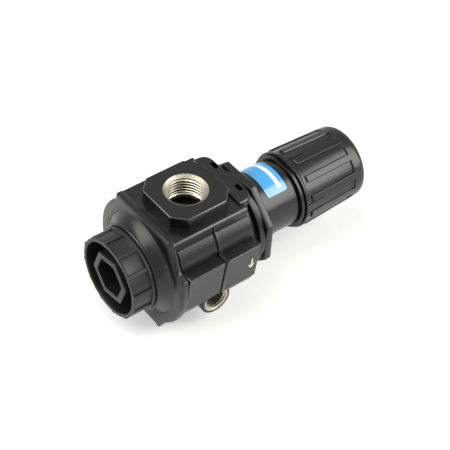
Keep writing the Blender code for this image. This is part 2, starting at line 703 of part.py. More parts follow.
def make_valve():
    """Seat insert, poppet with its pin and tail, rubber disc, tail seal and closing spring."""
    seat_outer = SEAT_HOLE_RADIUS - FIT
    profile = [(SEAT_FACE, SEAT_LIP_RADIUS), (SEAT_FACE, SEAT_LIP_RADIUS + SEAT_LIP_RISE),
               (SEAT_WALL_LEFT, seat_outer), (SEAT_WALL_RIGHT, seat_outer),
               (SEAT_WALL_RIGHT, SEAT_LIP_RADIUS)]
    turned("valve_seat", profile, "brass", SMALL_ROUND)
    pin_end = RELIEF_FACE - FIT
    seal_left = SPIGOT_END + POST_LENGTH / 3
    seal_right = seal_left + TAIL_SEAL_SECTION + FIT
    groove = POPPET_TAIL_RADIUS - TAIL_SEAL_SECTION
    profile = [(TAIL_END, 0.0), (TAIL_END, POPPET_TAIL_RADIUS), (seal_left, POPPET_TAIL_RADIUS),
               (seal_left, groove), (seal_right, groove), (seal_right, POPPET_TAIL_RADIUS),
               (HEAD_LEFT, POPPET_TAIL_RADIUS), (HEAD_LEFT, POPPET_RADIUS), (HEAD_RIGHT, POPPET_RADIUS),
               (HEAD_RIGHT, POPPET_PIN_RADIUS), (pin_end, POPPET_PIN_RADIUS), (pin_end, 0.0)]
    turned("valve_poppet", profile, "brass", SMALL_ROUND)
    ring("valve_disc", DISC_LEFT, DISC_RIGHT, POPPET_PIN_RADIUS + FIT, POPPET_RADIUS - FIT,
         "rubber", SMALL_ROUND)
    seal_centre = (seal_left + seal_right) / 2
    o_ring("poppet_seal", seal_centre, groove + FIT / 2, POPPET_TAIL_RADIUS + FIT / 2,
           TAIL_SEAL_SECTION / 2, SMALL_ROUND)
    coil("valve_spring", POST_END + FIT, HEAD_LEFT - FIT, VALVE_COIL_RADIUS, VALVE_WIRE, VALVE_TURNS,
         "steel", VALVE_COIL_SIDES)


def make_diaphragm_stack():
    """The diaphragm, clamped at its rim, and the two plates that ride on it."""
    hole = RELIEF_BOSS_RADIUS / 2
    rim = BONNET_BORE_RADIUS - FIT
    ring("diaphragm", DIAPHRAGM_LEFT, DIAPHRAGM_RIGHT, hole, rim, "rubber")
    profile = [(RELIEF_FACE, 0.0), (RELIEF_FACE, RELIEF_BOSS_RADIUS),
               (LOWER_PLATE_LEFT, RELIEF_BOSS_RADIUS),
               (LOWER_PLATE_LEFT, LOWER_PLATE_RADIUS), (LOWER_PLATE_RIGHT, LOWER_PLATE_RADIUS),
               (LOWER_PLATE_RIGHT, 0.0)]
    turned("diaphragm_plate", profile, "brass", SMALL_ROUND)
    pilot_end = SPRING_SEAT_RIGHT + SPRING_PILOT_LENGTH
    profile = [(SPRING_SEAT_LEFT, 0.0), (SPRING_SEAT_LEFT, SPRING_SEAT_RADIUS),
               (SPRING_SEAT_RIGHT, SPRING_SEAT_RADIUS), (SPRING_SEAT_RIGHT, SPRING_PILOT_RADIUS),
               (pilot_end, SPRING_PILOT_RADIUS - FIT), (pilot_end, 0.0)]
    turned("spring_seat", profile, "steel", SMALL_ROUND)


def make_bonnet():
    """Bonnet: threaded waist, round collar, octagonal wrench flange and neck, bored for the spring."""
    fillet = [(OCTAGON_RIGHT - FIT + NECK_FILLET * (1 - math.cos(angle)),
               NECK_RADIUS + NECK_FILLET * (1 - math.sin(angle)))
              for angle in (math.radians(90 * index / 3) for index in range(4))]
    collar_edge = CAST_EDGE / 2
    profile = [(BONNET_LEFT, SPRING_CHAMBER_RADIUS), (BONNET_LEFT, WAIST_RADIUS),
               (COLLAR_LEFT, WAIST_RADIUS), (COLLAR_LEFT, COLLAR_RADIUS - collar_edge),
               (COLLAR_LEFT + collar_edge, COLLAR_RADIUS),
               (OCTAGON_LEFT, COLLAR_RADIUS), (OCTAGON_LEFT, NECK_RADIUS + 2 * NECK_FILLET),
               (OCTAGON_RIGHT - FIT, NECK_RADIUS + 2 * NECK_FILLET)] + fillet + [
               (NECK_STEP, NECK_RADIUS), (NECK_STEP, NECK_INNER_RADIUS),
               (BONNET_END, NECK_INNER_RADIUS), (BONNET_END, SHANK_RADIUS + FIT),
               (BONNET_ROOF_LEFT, SHANK_RADIUS + FIT), (BONNET_ROOF_LEFT, SPRING_CHAMBER_RADIUS)]
    bonnet = turned("bonnet", profile, "cast_paint")
    octagon = prism_x("octagon_tool", polygon(8, OCTAGON_FLATS, math.pi / 8), OCTAGON_LEFT - FIT,
                      OCTAGON_RIGHT)
    round_edges(octagon, CAST_EDGE / 2, 1)
    cut(octagon, drum("octagon_bore_tool", OCTAGON_LEFT - OVERSHOOT, OCTAGON_RIGHT + OVERSHOOT,
                      NECK_RADIUS - NECK_WALL / 2))
    join(bonnet, octagon)
    for side in (-1, 1):
        keyway = block("keyway_tool_low" if side < 0 else "keyway_tool_high",
                       (BONNET_LEFT - OVERSHOOT, -KEYWAY_WIDTH / 2,
                        side * SPRING_CHAMBER_RADIUS - KEYWAY_DEPTH),
                       (BONNET_ROOF_LEFT - WASHER_THICKNESS, KEYWAY_WIDTH / 2,
                        side * SPRING_CHAMBER_RADIUS + KEYWAY_DEPTH))
        cut(bonnet, keyway)
    return bonnet


def make_neck_collar():
    """Ring with two flats that closes the gap between the neck and the knob."""
    outer = NECK_RADIUS + RING_RISE
    collar = ring("neck_collar", RING_LEFT, RING_RIGHT, NECK_INNER_RADIUS + FIT, outer, "moulded_black")
    for side in (-1, 1):
        reach = side * (NECK_RADIUS + RING_FLAT_RISE)
        far = side * (outer + OVERSHOOT)
        flat = block("flat_tool_low" if side < 0 else "flat_tool_high",
                     (RING_LEFT - OVERSHOOT, -outer, min(reach, far)),
                     (RING_RIGHT + OVERSHOOT, outer, max(reach, far)))
        cut(collar, flat)
    return collar


def make_label():
    """Thin blue band over the top and front of the neck."""
    inner = NECK_RADIUS + FIT
    outer = inner + LABEL_THICKNESS
    steps = SMALL_ROUND
    angles = [LABEL_START + LABEL_SWEEP * index / steps for index in range(steps + 1)]
    outline = [(-radius * math.cos(angle), radius * math.sin(angle))
               for radius, run in ((outer, angles), (inner, angles[::-1])) for angle in run]
    shape = bmesh.new()
    rings = [[shape.verts.new((x, y, z)) for y, z in outline] for x in (LABEL_LEFT, LABEL_RIGHT)]
    last = len(outline) - 1
    for index in range(len(outline)):
        after = (index + 1) % len(outline)
        shape.faces.new((rings[0][index], rings[0][after], rings[1][after], rings[1][index]))
    for loop in rings:
        for index in range(steps):
            shape.faces.new((loop[index], loop[index + 1], loop[last - index - 1], loop[last - index]))
    return add_object("label", shape, "label_blue")


def make_drive():
    """Adjusting screw, its thrust washer, the keyed nut, the range spring and the knob's clip."""
    profile = [(SCREW_END, 0.0), (SCREW_END, SCREW_RADIUS), (THRUST_LEFT, SCREW_RADIUS),
               (THRUST_LEFT, THRUST_RADIUS), (THRUST_RIGHT, THRUST_RADIUS), (THRUST_RIGHT, SHANK_RADIUS),
               (SHANK_END, SHANK_RADIUS), (SHANK_END, 0.0)]
    screw = turned("adjusting_screw", profile, "steel", SMALL_ROUND)
    drive = prism_x("drive_tool", polygon(6, DRIVE_FLATS), SHANK_END - SHANK_RADIUS / 2, SCREW_TIP)
    cut(drive, ring("clip_groove_tool", CLIP_LEFT - FIT, CLIP_RIGHT + FIT, CLIP_GROOVE_RADIUS, CLIP_RADIUS,
                    steps=SMALL_ROUND))
    join(screw, drive)
    ring("knob_clip", CLIP_LEFT, CLIP_RIGHT, CLIP_GROOVE_RADIUS + FIT, CLIP_RADIUS, "steel", SMALL_ROUND)
    ring("thrust_washer", WASHER_LEFT, WASHER_LEFT + WASHER_THICKNESS, SHANK_RADIUS + FIT, THRUST_RADIUS,
         "brass", SMALL_ROUND)
    nut_radius = SPRING_CHAMBER_RADIUS - FIT
    nut = ring("spring_nut", NUT_LEFT, NUT_LEFT + NUT_THICKNESS, SCREW_RADIUS + FIT, nut_radius, "brass")
    keys = block("key_tool", (NUT_LEFT, -KEYWAY_WIDTH / 2 + FIT, -nut_radius - KEYWAY_DEPTH + FIT),
                 (NUT_LEFT + NUT_THICKNESS, KEYWAY_WIDTH / 2 - FIT, nut_radius + KEYWAY_DEPTH - FIT))
    cut(keys, drum("key_gap_tool", NUT_LEFT - OVERSHOOT, NUT_LEFT + NUT_THICKNESS + OVERSHOOT,
                   (SCREW_RADIUS + nut_radius) / 2, steps=SMALL_ROUND))
    join(nut, keys)
    coil("range_spring", SPRING_SEAT_RIGHT + FIT, NUT_LEFT - FIT, RANGE_COIL_RADIUS, RANGE_WIRE,
         RANGE_TURNS, "steel", RANGE_COIL_SIDES)


def knob_outer(place):
    """Radius of the knob's panels at a place along X, before the bars stand out."""
    share = (place - KNOB_LEFT) / (KNOB_SHOULDER - KNOB_LEFT)
    return KNOB_PANEL_RADIUS - KNOB_TAPER * share


def make_knob():
    """The ribbed knob with its hub, and the serrated cap in its domed end."""
    steps = 5
    shoulder = knob_outer(KNOB_SHOULDER) + KNOB_BAR_RISE
    dome_end = shoulder - KNOB_DOME_WIDTH
    dome = [(KNOB_SHOULDER + (KNOB_END - KNOB_SHOULDER) * math.sin(math.pi / 2 * index / steps),
             dome_end + KNOB_DOME_WIDTH * math.cos(math.pi / 2 * index / steps))
            for index in range(1, steps + 1)]
    cap_bore = dome_end - CAP_INSET + FIT
    hub_bore = CLIP_RADIUS + FIT
    rim_end = KNOB_LEFT + KNOB_RIM_LENGTH
    rim = KNOB_PANEL_RADIUS + KNOB_RIM_RISE
    profile = [(HUB_LEFT, 0.0), (HUB_LEFT, HUB_RADIUS), (KNOB_CAVITY_END, HUB_RADIUS),
               (KNOB_CAVITY_END, knob_outer(KNOB_CAVITY_END) - KNOB_WALL),
               (KNOB_LEFT, KNOB_PANEL_RADIUS - KNOB_WALL), (KNOB_LEFT, rim), (rim_end, rim),
               (rim_end + KNOB_RIM_RISE, knob_outer(rim_end + KNOB_RIM_RISE)),
               (KNOB_PANEL_END, knob_outer(KNOB_PANEL_END)),
               (KNOB_PANEL_END, knob_outer(KNOB_PANEL_END) + KNOB_BAR_RISE),
               (KNOB_SHOULDER, shoulder)] + dome + [
               (KNOB_END, cap_bore), (CAP_SEAT, cap_bore), (CAP_SEAT, hub_bore),
               (HUB_SHOULDER, hub_bore), (HUB_SHOULDER, 0.0)]
    knob = turned("knob", profile, "moulded_black")
    sink = KNOB_WALL / 2
    bar_end = KNOB_PANEL_END + KNOB_WALL
    high_left = knob_outer(KNOB_BAR_LEFT) + KNOB_BAR_RISE
    high_right = knob_outer(bar_end) + KNOB_BAR_RISE - sink / 4
    bars = [bar_at("bar", KNOB_BAR_LEFT, bar_end, knob_outer(bar_end) - sink,
                   high_left, high_right, KNOB_BAR_WIDTH, angle)
            for angle in around(KNOB_BARS, KNOB_BAR_TURN)]
    join(knob, merged("bar_tool", bars))
    cut(knob, prism_x("hub_hex_tool", polygon(6, DRIVE_FLATS + 2 * FIT), HUB_LEFT - OVERSHOOT,
                      HUB_SHOULDER + OVERSHOOT))
    make_end_cap(cap_bore - FIT)
    return knob


def make_end_cap(outer):
    """Serrated disc that closes the knob's end, standing a little proud of it."""
    left = CAP_SEAT + FIT
    root = outer - CAP_TOOTH_DEPTH
    half = math.tau / CAP_TEETH / 4
    teeth = []
    for angle in around(CAP_TEETH):
        teeth += [(outer, angle - half), (outer, angle + half),
                  (root, angle + half), (root, angle + 3 * half)]
    outline = [(radius * math.cos(angle), radius * math.sin(angle)) for radius, angle in teeth]
    cap = prism_x("knob_end_cap", outline, left, CAP_END, "moulded_black")
    return cap


def main():
    """Build every piece in order, from the casting outwards."""
    make_body()
    make_rear_gauge_plug()
    make_bottom_plug()
    make_seals_and_filter()
    make_valve()
    make_diaphragm_stack()
    make_bonnet()
    make_neck_collar()
    make_label()
    make_drive()
    make_knob()


clear_scene()
reference = bpy.data.objects.new("reference", None)
reference.location = -ORIGIN
bpy.context.collection.objects.link(reference)
main()
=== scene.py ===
"""Compressed-air regulator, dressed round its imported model.

Shapes are drawn in millimetres about the point where the knob's axis meets the ports' axis,
as in the part's own source, and Seat puts each finished piece into the frame in metres.
"""

import json
import logging
import math
from collections.abc import Iterator, Sequence
from dataclasses import dataclass
from enum import Enum

import bmesh
import bpy
from mathutils import Matrix, Vector

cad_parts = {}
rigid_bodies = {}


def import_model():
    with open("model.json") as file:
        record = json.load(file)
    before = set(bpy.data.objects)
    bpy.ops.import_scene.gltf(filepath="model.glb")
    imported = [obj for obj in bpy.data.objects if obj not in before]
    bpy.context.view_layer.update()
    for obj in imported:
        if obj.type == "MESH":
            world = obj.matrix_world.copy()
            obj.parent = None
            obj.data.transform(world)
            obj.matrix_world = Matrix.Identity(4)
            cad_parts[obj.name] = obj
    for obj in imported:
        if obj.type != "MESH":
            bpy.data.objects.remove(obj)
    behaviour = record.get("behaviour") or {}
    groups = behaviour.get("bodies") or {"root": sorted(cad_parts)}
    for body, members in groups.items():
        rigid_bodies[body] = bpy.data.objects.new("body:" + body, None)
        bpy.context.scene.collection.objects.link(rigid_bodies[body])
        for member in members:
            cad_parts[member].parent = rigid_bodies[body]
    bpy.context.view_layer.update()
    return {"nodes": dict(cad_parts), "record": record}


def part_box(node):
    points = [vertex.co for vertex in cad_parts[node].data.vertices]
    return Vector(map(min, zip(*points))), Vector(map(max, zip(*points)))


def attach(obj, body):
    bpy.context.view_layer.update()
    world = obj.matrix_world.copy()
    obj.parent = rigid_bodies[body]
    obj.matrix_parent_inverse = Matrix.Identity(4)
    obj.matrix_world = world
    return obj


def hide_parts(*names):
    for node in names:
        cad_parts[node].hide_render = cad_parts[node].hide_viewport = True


LOG = logging.getLogger("regulator")
Point = tuple[float, float]
Corner = tuple[float, float, float]
Piece = bpy.types.Object
Tree = bpy.types.NodeTree
Socket = bpy.types.NodeSocket

MM = 0.001
# How far tools stick out past what they cut, and forms reach into what they join
PROUD = 2.0
BITE = 1.0
# Most of an edge that the rounding at one of its ends may take
ROUNDING_SHARE = 0.45
# Points nearer than this are one, after a cut and in a new mesh
WELD = 0.002
FINE_WELD = 0.001
# Edges sharper than this angle in degrees are shaded sharp
SHARP_FROM = 32
# Height of both gauge ports
GAUGE_Z = -19.6
# Height of a finish's ripple as a share of its width, and size of a colour blotch as a share of the drift's
RIPPLE_SLOPE = 0.1
BLOTCH_SHARE = 0.6


class Joining(Enum):
    """How a tool changes the piece it is used on."""

    CUT = "DIFFERENCE"
    JOIN = "UNION"


class Body(Enum):
    """The moving bodies that visible pieces ride on."""

    HOUSING = "housing"
    PLUG = "plug"
    KNOB = "knob"


class Slot(Enum):
    """The record's material slots."""

    PAINT = "cast_paint"
    BONNET = "bonnet_plastic"
    MOULDED = "moulded_black"
    LABEL = "label_blue"
    STEEL = "steel"
    BRASS = "brass"
    RUBBER = "rubber"
    SINTERED = "sintered"


# Small tools for materials


def linear(colour: str) -> tuple[float, float, float, float]:
    """Turn an sRGB hex colour into linear red, green, blue and alpha.

    Args:
        colour: Six hex digits after a hash sign.

    Returns:
        The linear colour with an alpha of one.
    """
    parts = [int(colour[place:place + 2], 16) / 255 for place in (1, 3, 5)]
    bent = [part / 12.92 if part <= 0.04045 else ((part + 0.055) / 1.055) ** 2.4 for part in parts]
    return bent[0], bent[1], bent[2], 1.0


def add_node(
        tree: Tree, kind: str, settings: dict | None = None, inputs: dict | None = None) -> bpy.types.Node:
    """Add one shader node.

    Args:
        tree: The node tree it goes into.
        kind: The node's type name.
        settings: Properties of the node itself.
        inputs: Values for its sockets by name or number; an output socket is linked.

    Returns:
        The new node.
    """
    node = tree.nodes.new(kind)
    for name, value in (settings or {}).items():
        setattr(node, name, value)
    for name, value in (inputs or {}).items():
        if isinstance(value, Socket):
            tree.links.new(value, node.inputs[name])
        else:
            node.inputs[name].default_value = value
    return node


def grains_per_metre(size_mm: float) -> float:
    """Texture scale at which one grain of the pattern has a real size."""
    return 1.0 / (size_mm * MM)


@dataclass(frozen=True)
class Finish:
    """A finish with a base colour, two sizes of grain in its bump and a drift in its gloss."""

    name: str
    colour: str
    roughness: float
    metallic: float = 0.0
    ior: float | None = None
    coat: float = 0.0
    grain_mm: float = 0.4
    grain_depth: float = 0.1
    ripple_mm: float = 6.0
    ripple_depth: float = 0.0
    drift_mm: float = 14.0
    drift: float = 0.04
    shade: str | None = None
    streak: Corner = (1.0, 1.0, 1.0)

    def shader(self, tree: Tree) -> bpy.types.Node:
        """Make the Principled shader with the values that are the same all over."""
        settings = {
            "Metallic": self.metallic, "Roughness": self.roughness, "Base Color": linear(self.colour),
            "Coat Weight": self.coat}
        if self.ior is not None:
            settings["IOR"] = self.ior
        return add_node(tree, "ShaderNodeBsdfPrincipled", None, settings)

    def noise(self, tree: Tree, place: Socket, size_mm: float, detail: float) -> Socket:
        """A noise of one real grain size, as a factor from 0 to 1."""
        node = add_node(
            tree, "ShaderNodeTexNoise", None,
            {"Vector": place, "Scale": grains_per_metre(size_mm), "Detail": detail})
        return node.outputs[0]

    def relief(self, tree: Tree, place: Socket) -> Socket:
        """Bump of the fine grain laid over the broad ripple."""
        grain = self.noise(tree, place, self.grain_mm, detail=3.0)
        fine = add_node(
            tree, "ShaderNodeBump", None,
            {"Strength": self.grain_depth, "Distance": self.grain_mm * MM, "Height": grain})
        if not self.ripple_depth:
            return fine.outputs["Normal"]
        ripple = self.noise(tree, place, self.ripple_mm, detail=1.0)
        broad = add_node(
            tree, "ShaderNodeBump", None,
            {
                "Strength": self.ripple_depth, "Distance": self.ripple_mm * MM * RIPPLE_SLOPE,
                "Height": ripple, "Normal": fine.outputs["Normal"]})
        return broad.outputs["Normal"]

    def build(self) -> bpy.types.Material:
        """Make the Blender material once, and hand back the same one after that.

        Returns:
            The material.
        """
        known = bpy.data.materials.get(self.name)
        if known:
            return known
        material = bpy.data.materials.new(self.name)
        material.use_nodes = True
        tree = material.node_tree
        tree.nodes.clear()
        shader = self.shader(tree)
        place = add_node(tree, "ShaderNodeTexCoord").outputs["Object"]
        stretched = add_node(
            tree, "ShaderNodeVectorMath", {"operation": "MULTIPLY"}, {0: place, 1: self.streak}
        ).outputs["Vector"]
        tree.links.new(self.relief(tree, stretched), shader.inputs["Normal"])
        drift = self.noise(tree, stretched, self.drift_mm, detail=2.0)
        gloss = add_node(
            tree, "ShaderNodeMapRange", None,
            {"Value": drift, "To Min": self.roughness - self.drift, "To Max": self.roughness + self.drift})
        tree.links.new(gloss.outputs["Result"], shader.inputs["Roughness"])
        self.tint(tree, shader, stretched)
        output = add_node(tree, "ShaderNodeOutputMaterial")
        tree.links.new(shader.outputs["BSDF"], output.inputs["Surface"])
        return material

    def tint(self, tree: Tree, shader: bpy.types.Node, place: Socket) -> None:
        """Drift the colour between the base and the shade."""
        if not self.shade:
            return
        blotch = self.noise(tree, place, self.drift_mm * BLOTCH_SHARE, detail=4.0)
        mix = add_node(
            tree, "ShaderNodeMix", {"data_type": "RGBA"},
            {0: blotch, 6: linear(self.colour), 7: linear(self.shade)})
        tree.links.new(mix.outputs[2], shader.inputs["Base Color"])


# Stoved epoxy paint on a zinc die casting: satin black, a little orange peel, soft wide highlights
PAINT = Finish(
    "stoved_epoxy_paint", "#0a0a0a", 0.28, ior=1.46, grain_mm=0.5, grain_depth=0.08, ripple_mm=5.0,
    ripple_depth=0.02, drift=0.03, shade="#0e0e0d")
# The same paint on sharp edges, lightened to grey as a painted highlight along every chamfer, and glossier
EDGE_HIGHLIGHT_PAINT = Finish(
    "epoxy_paint_edge_highlight", "#4c4b46", 0.20, ior=1.5, grain_mm=0.8, grain_depth=0.10, drift_mm=5.0,
    drift=0.05, shade="#35342f")
# Glass-filled nylon, injection moulded: black with a fine spark-eroded grain
NYLON = Finish(
    "moulded_glass_filled_nylon", "#0c0c0c", 0.27, ior=1.46, grain_mm=0.3, grain_depth=0.06, drift=0.03,
    shade="#100f0f")
# Moulded acetal of the plug and the end cap: duller black, with highlights that spread
ACETAL = Finish(
    "moulded_acetal", "#0d0d0d", 0.42, ior=1.48, grain_mm=0.3, grain_depth=0.08, drift=0.04, shade="#111110")
# Tapped zinc alloy: warm grey metal, bright on the flanks and smooth from the tap
CUT_ZINC = Finish(
    "tapped_zinc_alloy", "#cfc8ba", 0.24, metallic=1.0, grain_mm=0.4, grain_depth=0.05, drift_mm=3.0,
    drift=0.05, shade="#bbb2a2")
# The chamfer, turned dry: the same alloy, torn and speckled by the tool
TURNED_ZINC = Finish(
    "turned_zinc_alloy", "#cbc5b8", 0.42, metallic=1.0, grain_mm=0.55, grain_depth=0.5, drift_mm=1.2,
    drift=0.12, shade="#857f72")
# The flow arrow's top, ground bare: the same alloy, scratched and matt
GROUND_ZINC = Finish(
    "ground_zinc_alloy", "#d6d4cc", 0.46, metallic=1.0, grain_mm=0.6, grain_depth=0.4, drift_mm=2.0,
    drift=0.1, shade="#bdbab2")
# Drawn spring and screw steel: bright grey with fine lines along the part
STEEL = Finish(
    "drawn_steel", "#bcbdc0", 0.28, metallic=1.0, grain_mm=0.3, grain_depth=0.15, drift_mm=4.0, drift=0.06,
    streak=(0.2, 1.0, 1.0))
# Turned free-cutting brass: yellow metal with tool marks round it
BRASS = Finish(
    "turned_brass", "#d9b36a", 0.26, metallic=1.0, grain_mm=0.3, grain_depth=0.15, drift_mm=4.0, drift=0.06,
    shade="#c9a058", streak=(4.0, 1.0, 1.0))
# Moulded nitrile rubber: matt near-black with a bloom
RUBBER = Finish(
    "moulded_nitrile", "#262626", 0.62, ior=1.52, grain_mm=0.25, grain_depth=0.2, drift=0.06, shade="#303030")
# Sintered polyethylene beads: chalky white and open-grained
SINTERED = Finish(
    "sintered_polyethylene", "#ece9df", 0.82, ior=1.5, grain_mm=0.5, grain_depth=0.8, drift=0.05,
    shade="#dcd8cc")


def ink(name: str, colour: str, shade: str) -> Finish:
    """One flat ink on printed polyester film, which is smooth and slightly glossy."""
    return Finish(
        "printed_film_" + name, colour, 0.34, ior=1.5, coat=0.1, grain_mm=0.2, grain_depth=0.03, drift=0.02,
        shade=shade)


FILM_BLUE = ink("blue", "#4aa8ee", "#52adf0")
FILM_PALE = ink("pale", "#86bff3", "#8dc4f5")
FILM_WHITE = ink("white", "#f6f9fc", "#f0f4f8")

BY_SLOT = {
    Slot.PAINT: PAINT, Slot.BONNET: NYLON, Slot.MOULDED: NYLON, Slot.LABEL: FILM_BLUE, Slot.STEEL: STEEL,
    Slot.BRASS: BRASS, Slot.RUBBER: RUBBER, Slot.SINTERED: SINTERED}


# Small tools for shapes


def add_shape(name: str, shape: bmesh.types.BMesh, finish: Finish | None = None) -> Piece:
    """Turn a bmesh into an object.

    Args:
        name: The object's name.
        shape: The bmesh, which is freed.
        finish: The finish of all its faces.

    Returns:
        The new object.
    """
    bmesh.ops.recalc_face_normals(shape, faces=shape.faces)
    mesh = bpy.data.meshes.new(name)
    shape.to_mesh(mesh)
    shape.free()
    if finish:
        mesh.materials.append(finish.build())
    item = bpy.data.objects.new(name, mesh)
    bpy.context.scene.collection.objects.link(item)
    return item


def skin(name: str, rows: Sequence[Sequence[Corner]], closed: bool, finish: Finish) -> Piece:
    """Skin rows of points into one shape; each row closes on itself.

    Args:
        name: The object's name.
        rows: Rows with the same number of points each.
        closed: True joins the last row to the first; False caps both ends.
        finish: The finish of all its faces.

    Returns:
        The new object.
    """
    shape = bmesh.new()
    grid = [[shape.verts.new(point) for point in row] for row in rows]
    count = len(grid[0])
    pairs = list(zip(grid, grid[1:])) + ([(grid[-1], grid[0])] if closed else [])
    for first, second in pairs:
        for index in range(count):
            after = (index + 1) % count
            shape.faces.new((first[index], first[after], second[after], second[index]))
    if not closed:
        shape.faces.new(grid[0])
        shape.faces.new(grid[-1][::-1])
    return add_shape(name, shape, finish)


def turned(name: str, profile: Sequence[Point], finish: Finish, steps: int) -> Piece:
    """Spin a profile of (x, radius) points about the X axis.

    Args:
        name: The object's name.
        profile: The profile; it starts and ends on the axis for a solid, else it is a ring's section.
        finish: The finish of all its faces.
        steps: Steps round the axis.

    Returns:
        The new object.
    """
    solid = profile[0][1] == 0 and profile[-1][1] == 0
    inside = profile[1:-1] if solid else profile
    turns = [math.tau * index / steps for index in range(steps)]
    rows = [[(x, radius * math.cos(turn), radius * math.sin(turn)) for turn in turns] for x, radius in inside]
    return skin(name, rows, not solid, finish)


def extruded(name: str, outline: Sequence[Corner], reach: Corner, finish: Finish) -> Piece:
    """Extrude a closed outline of points along a vector."""
    far = [(x + reach[0], y + reach[1], z + reach[2]) for x, y, z in outline]
    return skin(name, [list(outline), far], False, finish)


def prism_x(name: str, outline: Sequence[Point], left: float, right: float, finish: Finish) -> Piece:
    """Extrude an outline of (y, z) points along X."""
    return extruded(name, [(left, y, z) for y, z in outline], (right - left, 0, 0), finish)


def box(name: str, low: Corner, high: Corner, finish: Finish) -> Piece:
    """A block between two corners, to be eased and joined or used as a tool."""
    outline = [
        (low[0], low[1], low[2]), (high[0], low[1], low[2]), (high[0], high[1], low[2]),
        (low[0], high[1], low[2])]
    return extruded(name, outline, (0, 0, high[2] - low[2]), finish)


def arc(centre: Point, radius: float, start: float, stop: float, steps: int) -> list[Point]:
    """Points of an arc between two angles in degrees, both ends included."""
    turns = [math.radians(start + (stop - start) * index / steps) for index in range(steps + 1)]
    return [(centre[0] + radius * math.cos(turn), centre[1] + radius * math.sin(turn)) for turn in turns]


def rounded(points: Sequence[Point], radius: float, steps: int, ends: bool = True) -> list[Point]:
    """Round the corners of an outline.

    Args:
        points: The outline's corners in order.
        radius: How far along each edge the rounding starts.
        steps: Steps in each rounding.
        ends: True rounds the first and last corner too, as for a closed outline.

    Returns:
        The rounded outline.
    """
    made: list[Point] = []
    count = len(points)
    for index, point in enumerate(points):
        if not ends and index in (0, count - 1):
            made.append(point)
            continue
        here = Vector(point)
        before = Vector(points[index - 1]) - here
        after = Vector(points[(index + 1) % count]) - here
        start = here + before.normalized() * min(radius, before.length * ROUNDING_SHARE)
        stop = here + after.normalized() * min(radius, after.length * ROUNDING_SHARE)
        for step in range(steps + 1):
            share = step / steps
            spot = start * (1 - share) ** 2 + here * (2 * share * (1 - share)) + stop * share ** 2
            made.append((spot.x, spot.y))
    return made


def apply_modifiers(item: Piece) -> None:
    """Freeze an object's modifiers into its mesh."""
    graph = bpy.context.evaluated_depsgraph_get()
    mesh = bpy.data.meshes.new_from_object(item.evaluated_get(graph))
    item.modifiers.clear()
    old = item.data
    item.data = mesh
    bpy.data.meshes.remove(old)


def eased(item: Piece, width: float, segments: int, angle: float = 40, finish: Finish | None = None) -> Piece:
    """Round or chamfer an object's sharp edges.

    Args:
        item: The object.
        width: How far from the edge the rounding starts.
        segments: Steps of the rounding; one makes a chamfer.
        angle: Edges sharper than this angle in degrees are worked.
        finish: A finish of its own for the new faces.

    Returns:
        The object.
    """
    modifier = item.modifiers.new("easing", "BEVEL")
    modifier.width = width
    modifier.segments = segments
    modifier.limit_method = "ANGLE"
    modifier.angle_limit = math.radians(angle)
    if finish:
        item.data.materials.append(finish.build())
        modifier.material = len(item.data.materials) - 1
    apply_modifiers(item)
    return item


def chamfered(item: Piece, width: float, angle: float) -> Piece:
    """Chamfer a painted form's edges, and paint the chamfers lighter as a painted highlight."""
    return eased(item, width, 1, angle, EDGE_HIGHLIGHT_PAINT)


def work(target: Piece, tool: Piece, joining: Joining) -> None:
    """Join a tool to the target or cut it out, and throw the tool away.

    Args:
        target: The piece that is changed.
        tool: The tool; faces that it leaves keep its finish.
        joining: Whether it is joined or cut.
    """
    modifier = target.modifiers.new("work", "BOOLEAN")
    modifier.operation = joining.value
    modifier.solver = "EXACT"
    modifier.material_mode = "TRANSFER"
    modifier.object = tool
    apply_modifiers(target)
    bpy.data.objects.remove(tool, do_unlink=True)
    shape = bmesh.new()
    shape.from_mesh(target.data)
    bmesh.ops.remove_doubles(shape, verts=shape.verts, dist=WELD)
    bmesh.ops.dissolve_degenerate(shape, edges=shape.edges, dist=WELD)
    shape.to_mesh(target.data)
    shape.free()


def aimed(item: Piece, axis: Corner, place: Corner = (0, 0, 0)) -> Piece:
    """Point an object that was drawn about X along another axis, through a place."""
    facing = Vector((1, 0, 0)).rotation_difference(Vector(axis)).to_matrix().to_4x4()
    item.data.transform(Matrix.Translation(place) @ facing)
    return item


def stepped(stations: Sequence[Point], end: float) -> list[Point]:
    """A stepped profile that closes on the axis.

    Args:
        stations: Where each step starts along X, and its radius.
        end: Where the last step ends.

    Returns:
        The profile's points (x, radius).
    """
    profile = [(stations[0][0], 0.0)]
    for (start, radius), (stop, _) in zip(stations, [*stations[1:], (end, 0.0)]):
        profile += [(start, radius), (stop, radius)]
    return profile + [(end, 0.0)]


def drill(
        target: Piece, stations: Sequence[Point], end: float, finish: Finish, steps: int,
        axis: Corner = (1, 0, 0), place: Corner = (0, 0, 0)) -> None:
    """Cut a stepped round hole.

    Args:
        target: The piece that is cut.
        stations: Where each step starts along the hole's axis, and its radius.
        end: Where the last step ends.
        finish: The finish of the hole's walls.
        steps: Steps round the hole.
        axis: The way the hole runs.
        place: A point on the hole's axis.
    """
    work(target, aimed(turned("hole", stepped(stations, end), finish, steps), axis, place), Joining.CUT)


def rolled(item: Piece, angle: float) -> Piece:
    """Roll an object about the X axis."""
    item.data.transform(Matrix.Rotation(angle, 4, "X"))
    return item


def around(count: int, turn: float = 0.0) -> list[float]:
    """Angles evenly spaced round the X axis."""
    return [turn + math.tau * index / count for index in range(count)]


def polygon(sides: int, across_flats: float, turn: float = 0.0) -> list[Point]:
    """Corners (y, z) of a regular polygon given by its size across flats."""
    corner = across_flats / 2 / math.cos(math.pi / sides)
    return [(corner * math.cos(angle), corner * math.sin(angle)) for angle in around(sides, turn)]


